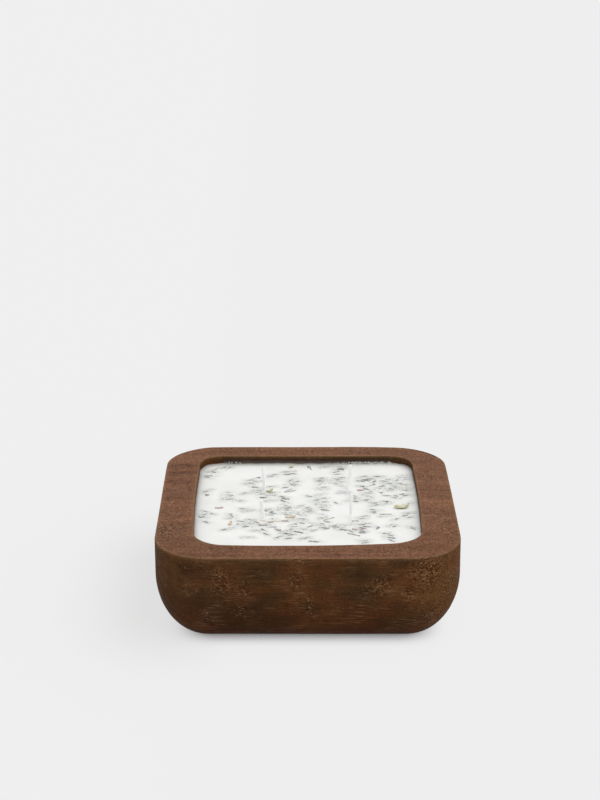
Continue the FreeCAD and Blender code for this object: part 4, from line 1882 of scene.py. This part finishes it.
            # The crumbs take a quarter of the dim edge's tone: partly wood showing through, partly
            # painted shade against the wall.
            shells.add(points, faces, veil=0.0, thin=0.25)


# ---------------------------------------------------------------- the wicks


class WickPlace(Enum):
    """The four wicks, by where they stand."""

    FRONT_LEFT = "front_left"
    FRONT_RIGHT = "front_right"
    BACK_LEFT = "back_left"
    BACK_RIGHT = "back_right"

    @property
    def node(self) -> str:
        """The wick's CAD node."""
        return f"wick_{self.value}"


@dataclass
class Wick:
    """One wick, braided round and cut off a little unevenly, its braid a relief in its skin."""

    place: WickPlace
    bend_height: float
    radius: float = 0.9 * MM
    relief: float = 0.06 * MM
    fuzz: float = 0.04 * MM
    fuzz_size: float = 0.5 * MM
    plait: float = 3.4 * MM
    strands: int = 3
    fine_step: float = 0.2 * MM
    coarse_step: float = 1.0 * MM
    sides: int = 24
    hairs: int = 10

    def middle_line(self) -> tuple[np.ndarray, np.ndarray, np.ndarray]:
        """Finds the wick's middle line from its CAD node.

        Returns:
            Its foot, the bend at which it starts to lean, and its tip.
        """
        points = np.array([v.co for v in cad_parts[self.place.node].data.vertices], float)
        low, high = points[:, 2].min(), points[:, 2].max()
        foot = points[points[:, 2] < low + 0.05 * MM].mean(0)
        tip = points[points[:, 2] > high - 0.3 * MM].mean(0)
        bend = foot.copy()
        bend[2] = self.bend_height
        return foot, bend, tip

    def stations(self, foot: np.ndarray, bend: np.ndarray, tip: np.ndarray) -> np.ndarray:
        """Divides the middle line, finely where the wick is seen.

        Args:
            foot: where it starts.
            bend: where it starts to lean.
            tip: where it ends.

        Returns:
            The points along it, one row each.
        """
        buried = np.arange(foot[2], bend[2] - self.coarse_step, self.coarse_step)
        seen = np.arange(bend[2] - self.coarse_step, tip[2], self.fine_step)
        heights = np.concatenate([buried, seen, [tip[2]]])
        lean = np.clip((heights - bend[2]) / (tip[2] - bend[2]), 0, 1)
        line = foot + lean[:, None] * (tip - foot)
        line[:, 2] = heights
        return line

    def build(self) -> None:
        """Makes the wick in place of its CAD node."""
        chance = random.Random(self.place.value)
        line = self.stations(*self.middle_line())
        points, faces = tube(line, np.full(len(line), self.radius), self.sides)
        turn = np.tile(np.linspace(0, 2 * math.pi, self.sides, endpoint=False), len(line))
        along = np.repeat(line[:, 2], self.sides) / self.plait * 2 * math.pi
        over = np.cos(self.strands * turn + along)
        under = np.cos(self.strands * turn - along)
        middle = np.repeat(line, self.sides, axis=0)
        uneven = self.fuzz * roughness_of(points, self.fuzz_size, chance.uniform(0, 9))
        height = self.relief * (np.maximum(over, under) - 1) + uneven
        points = middle + (points - middle) * (1 + height / self.radius)[:, None]
        at_tip = np.clip((middle[:, 2] - line[-3, 2]) / (line[-1, 2] - line[-3, 2]), 0, 1)
        cut_off = chance.uniform(0.1, 0.3) * MM
        points[:, 2] -= at_tip * cut_off * (1 + np.cos(turn - chance.uniform(0, 6)))
        shells = Shells()
        shells.add(points, faces)
        for _ in range(self.hairs):
            self.add_hair(shells, line[-4], chance)
        name = f"cotton_{self.place.node}"
        shown(shells.build(name, BraidedCotton()), [self.place.node])

    def add_hair(self, shells: Shells, root: np.ndarray, chance: random.Random) -> None:
        """Adds one loose fibre at the cut end.

        Args:
            shells: the wick so far.
            root: where it starts from.
            chance: picks its way.
        """
        heading = chance.uniform(0, 2 * math.pi)
        out = np.array([math.cos(heading), math.sin(heading), 0.0])
        start = root + out * chance.uniform(0.1, 0.6) * MM
        share = np.linspace(0, 1, 5)
        path = start + np.outer(share**2 * chance.uniform(0.1, 0.3) * MM, out)
        path[:, 2] += share * chance.uniform(0.25, 0.45) * MM
        points, faces = tube(path, np.linspace(0.06, 0.03, 5) * MM, 5)
        shells.add(points, faces)


@dataclass
class WickHolders:
    """The tabs and stickers under the wax, which keep their CAD shape."""

    def build(self) -> None:
        """Gives each tab and each sticker its finish."""
        steel, foam = TinnedSteel().material(), FoamTape().material()
        for place in WickPlace:
            for kind, material in (("wick_tab", steel), ("tab_sticker", foam)):
                node = f"{kind}_{place.value}"
                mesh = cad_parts[node].data
                mesh.materials.clear()
                mesh.materials.append(material)
                LOG.info("%s: keeps its shape, in %s", node, material.name)


# ---------------------------------------------------------------- the studio


@dataclass
class Studio:
    """The paper, the lights and the camera. Its angles are degrees."""

    paper_size: float = 40.0
    overhead_light: float = 1.6
    softness: float = 70.0
    lean_back: float = 4.0
    lean_right: float = 17.0
    air_light: float = 0.55
    air_seen: float = 0.855
    lens: float = 84.9
    pitch: float = 19.38
    yaw: float = -0.39
    roll: float = 0.095
    distance: float = 0.949
    aim_right: float = -3.67 * MM
    aim_up: float = 103.3 * MM

    def build(self) -> None:
        """Sets up the studio."""
        self.lay_paper()
        self.light()
        self.place_camera()
        bpy.context.scene.view_settings.view_transform = "Standard"

    def lay_paper(self) -> None:
        """Lays the paper under the bowl, as one flat sheet that reaches far beyond it."""
        half = self.paper_size / 2
        mesh = bpy.data.meshes.new("seamless_paper")
        corners = [(-half, -half, 0.0), (half, -half, 0.0), (half, half, 0.0), (-half, half, 0.0)]
        mesh.from_pydata(corners, [], [(0, 1, 2, 3)])
        mesh.materials.append(StudioPaper().material())
        paper = bpy.data.objects.new("seamless_paper", mesh)
        bpy.context.scene.collection.objects.link(paper)
        paper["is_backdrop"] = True

    def light(self) -> None:
        """Hangs a large soft light overhead and a weak even light all round."""
        sun = bpy.data.lights.new("overhead_softbox", "SUN")
        sun.energy = self.overhead_light
        sun.angle = math.radians(self.softness)
        lamp = bpy.data.objects.new("overhead_softbox", sun)
        lamp.rotation_euler = (math.radians(self.lean_back), math.radians(self.lean_right), 0.0)
        bpy.context.scene.collection.objects.link(lamp)
        world = bpy.data.worlds.new("studio_air")
        world.use_nodes = True
        tree = world.node_tree
        tree.nodes.clear()
        levels = {"To Min": self.air_light, "To Max": self.air_seen}
        strength = add_node(tree, "MapRange", levels, {"Value": is_looked_at(tree)})
        links = {"Strength": strength.outputs["Result"]}
        air = add_node(tree, "Background", {"Color": grey(1.0)}, links).outputs["Background"]
        add_node(tree, "OutputWorld", links={"Surface": air})
        bpy.context.scene.world = world

    def place_camera(self) -> None:
        """Places the camera, which looks down on the bowl's front."""
        camera = bpy.data.cameras.new("studio_camera")
        camera.lens = self.lens
        camera.sensor_width = 36.0
        camera.clip_start, camera.clip_end = 0.01, 100.0
        down = math.radians(self.pitch)
        aim = Vector((self.aim_right, 0.0, self.aim_up))
        back = Vector((0.0, -math.cos(down), math.sin(down))) * self.distance
        turn = Matrix.Rotation(math.radians(self.yaw), 4, "Z")
        tilt = Matrix.Rotation(math.pi / 2 - down, 4, "X")
        spin = Matrix.Rotation(math.radians(self.roll), 4, "Z")
        eye = bpy.data.objects.new("studio_camera", camera)
        eye.matrix_world = turn @ Matrix.Translation(aim + back) @ tilt @ spin
        bpy.context.scene.collection.objects.link(eye)
        bpy.context.scene.camera = eye


def write_sizes() -> None:
    """Works out the CAD model's box and the visual model's box as lists of numbers."""
    boxes = {"cad": CAD_BOX, "visual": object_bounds()}
    plain = {name: [[float(x) for x in corner] for corner in box] for name, box in boxes.items()}


def main() -> None:
    """Builds every piece around the frame."""
    logging.basicConfig(level=logging.INFO, format="%(message)s")
    Studio().build()
    lies = lies_of("lavender_buds")
    bowl = Bowl()
    bowl.build()
    wax = Wax(bowl)
    wax.build(lies)
    WickHolders().build()
    for place in WickPlace:
        Wick(place, wax.level - 0.5 * MM).build()
    LavenderBuds().build(lies)
    LavenderChaff().build(lies, wax.level)
    LavenderFlorets().build()
    FlowerStems().build()
    for kind in BladeKind:
        kind.build()
    write_sizes()


if __name__ == "__main__":
    main()
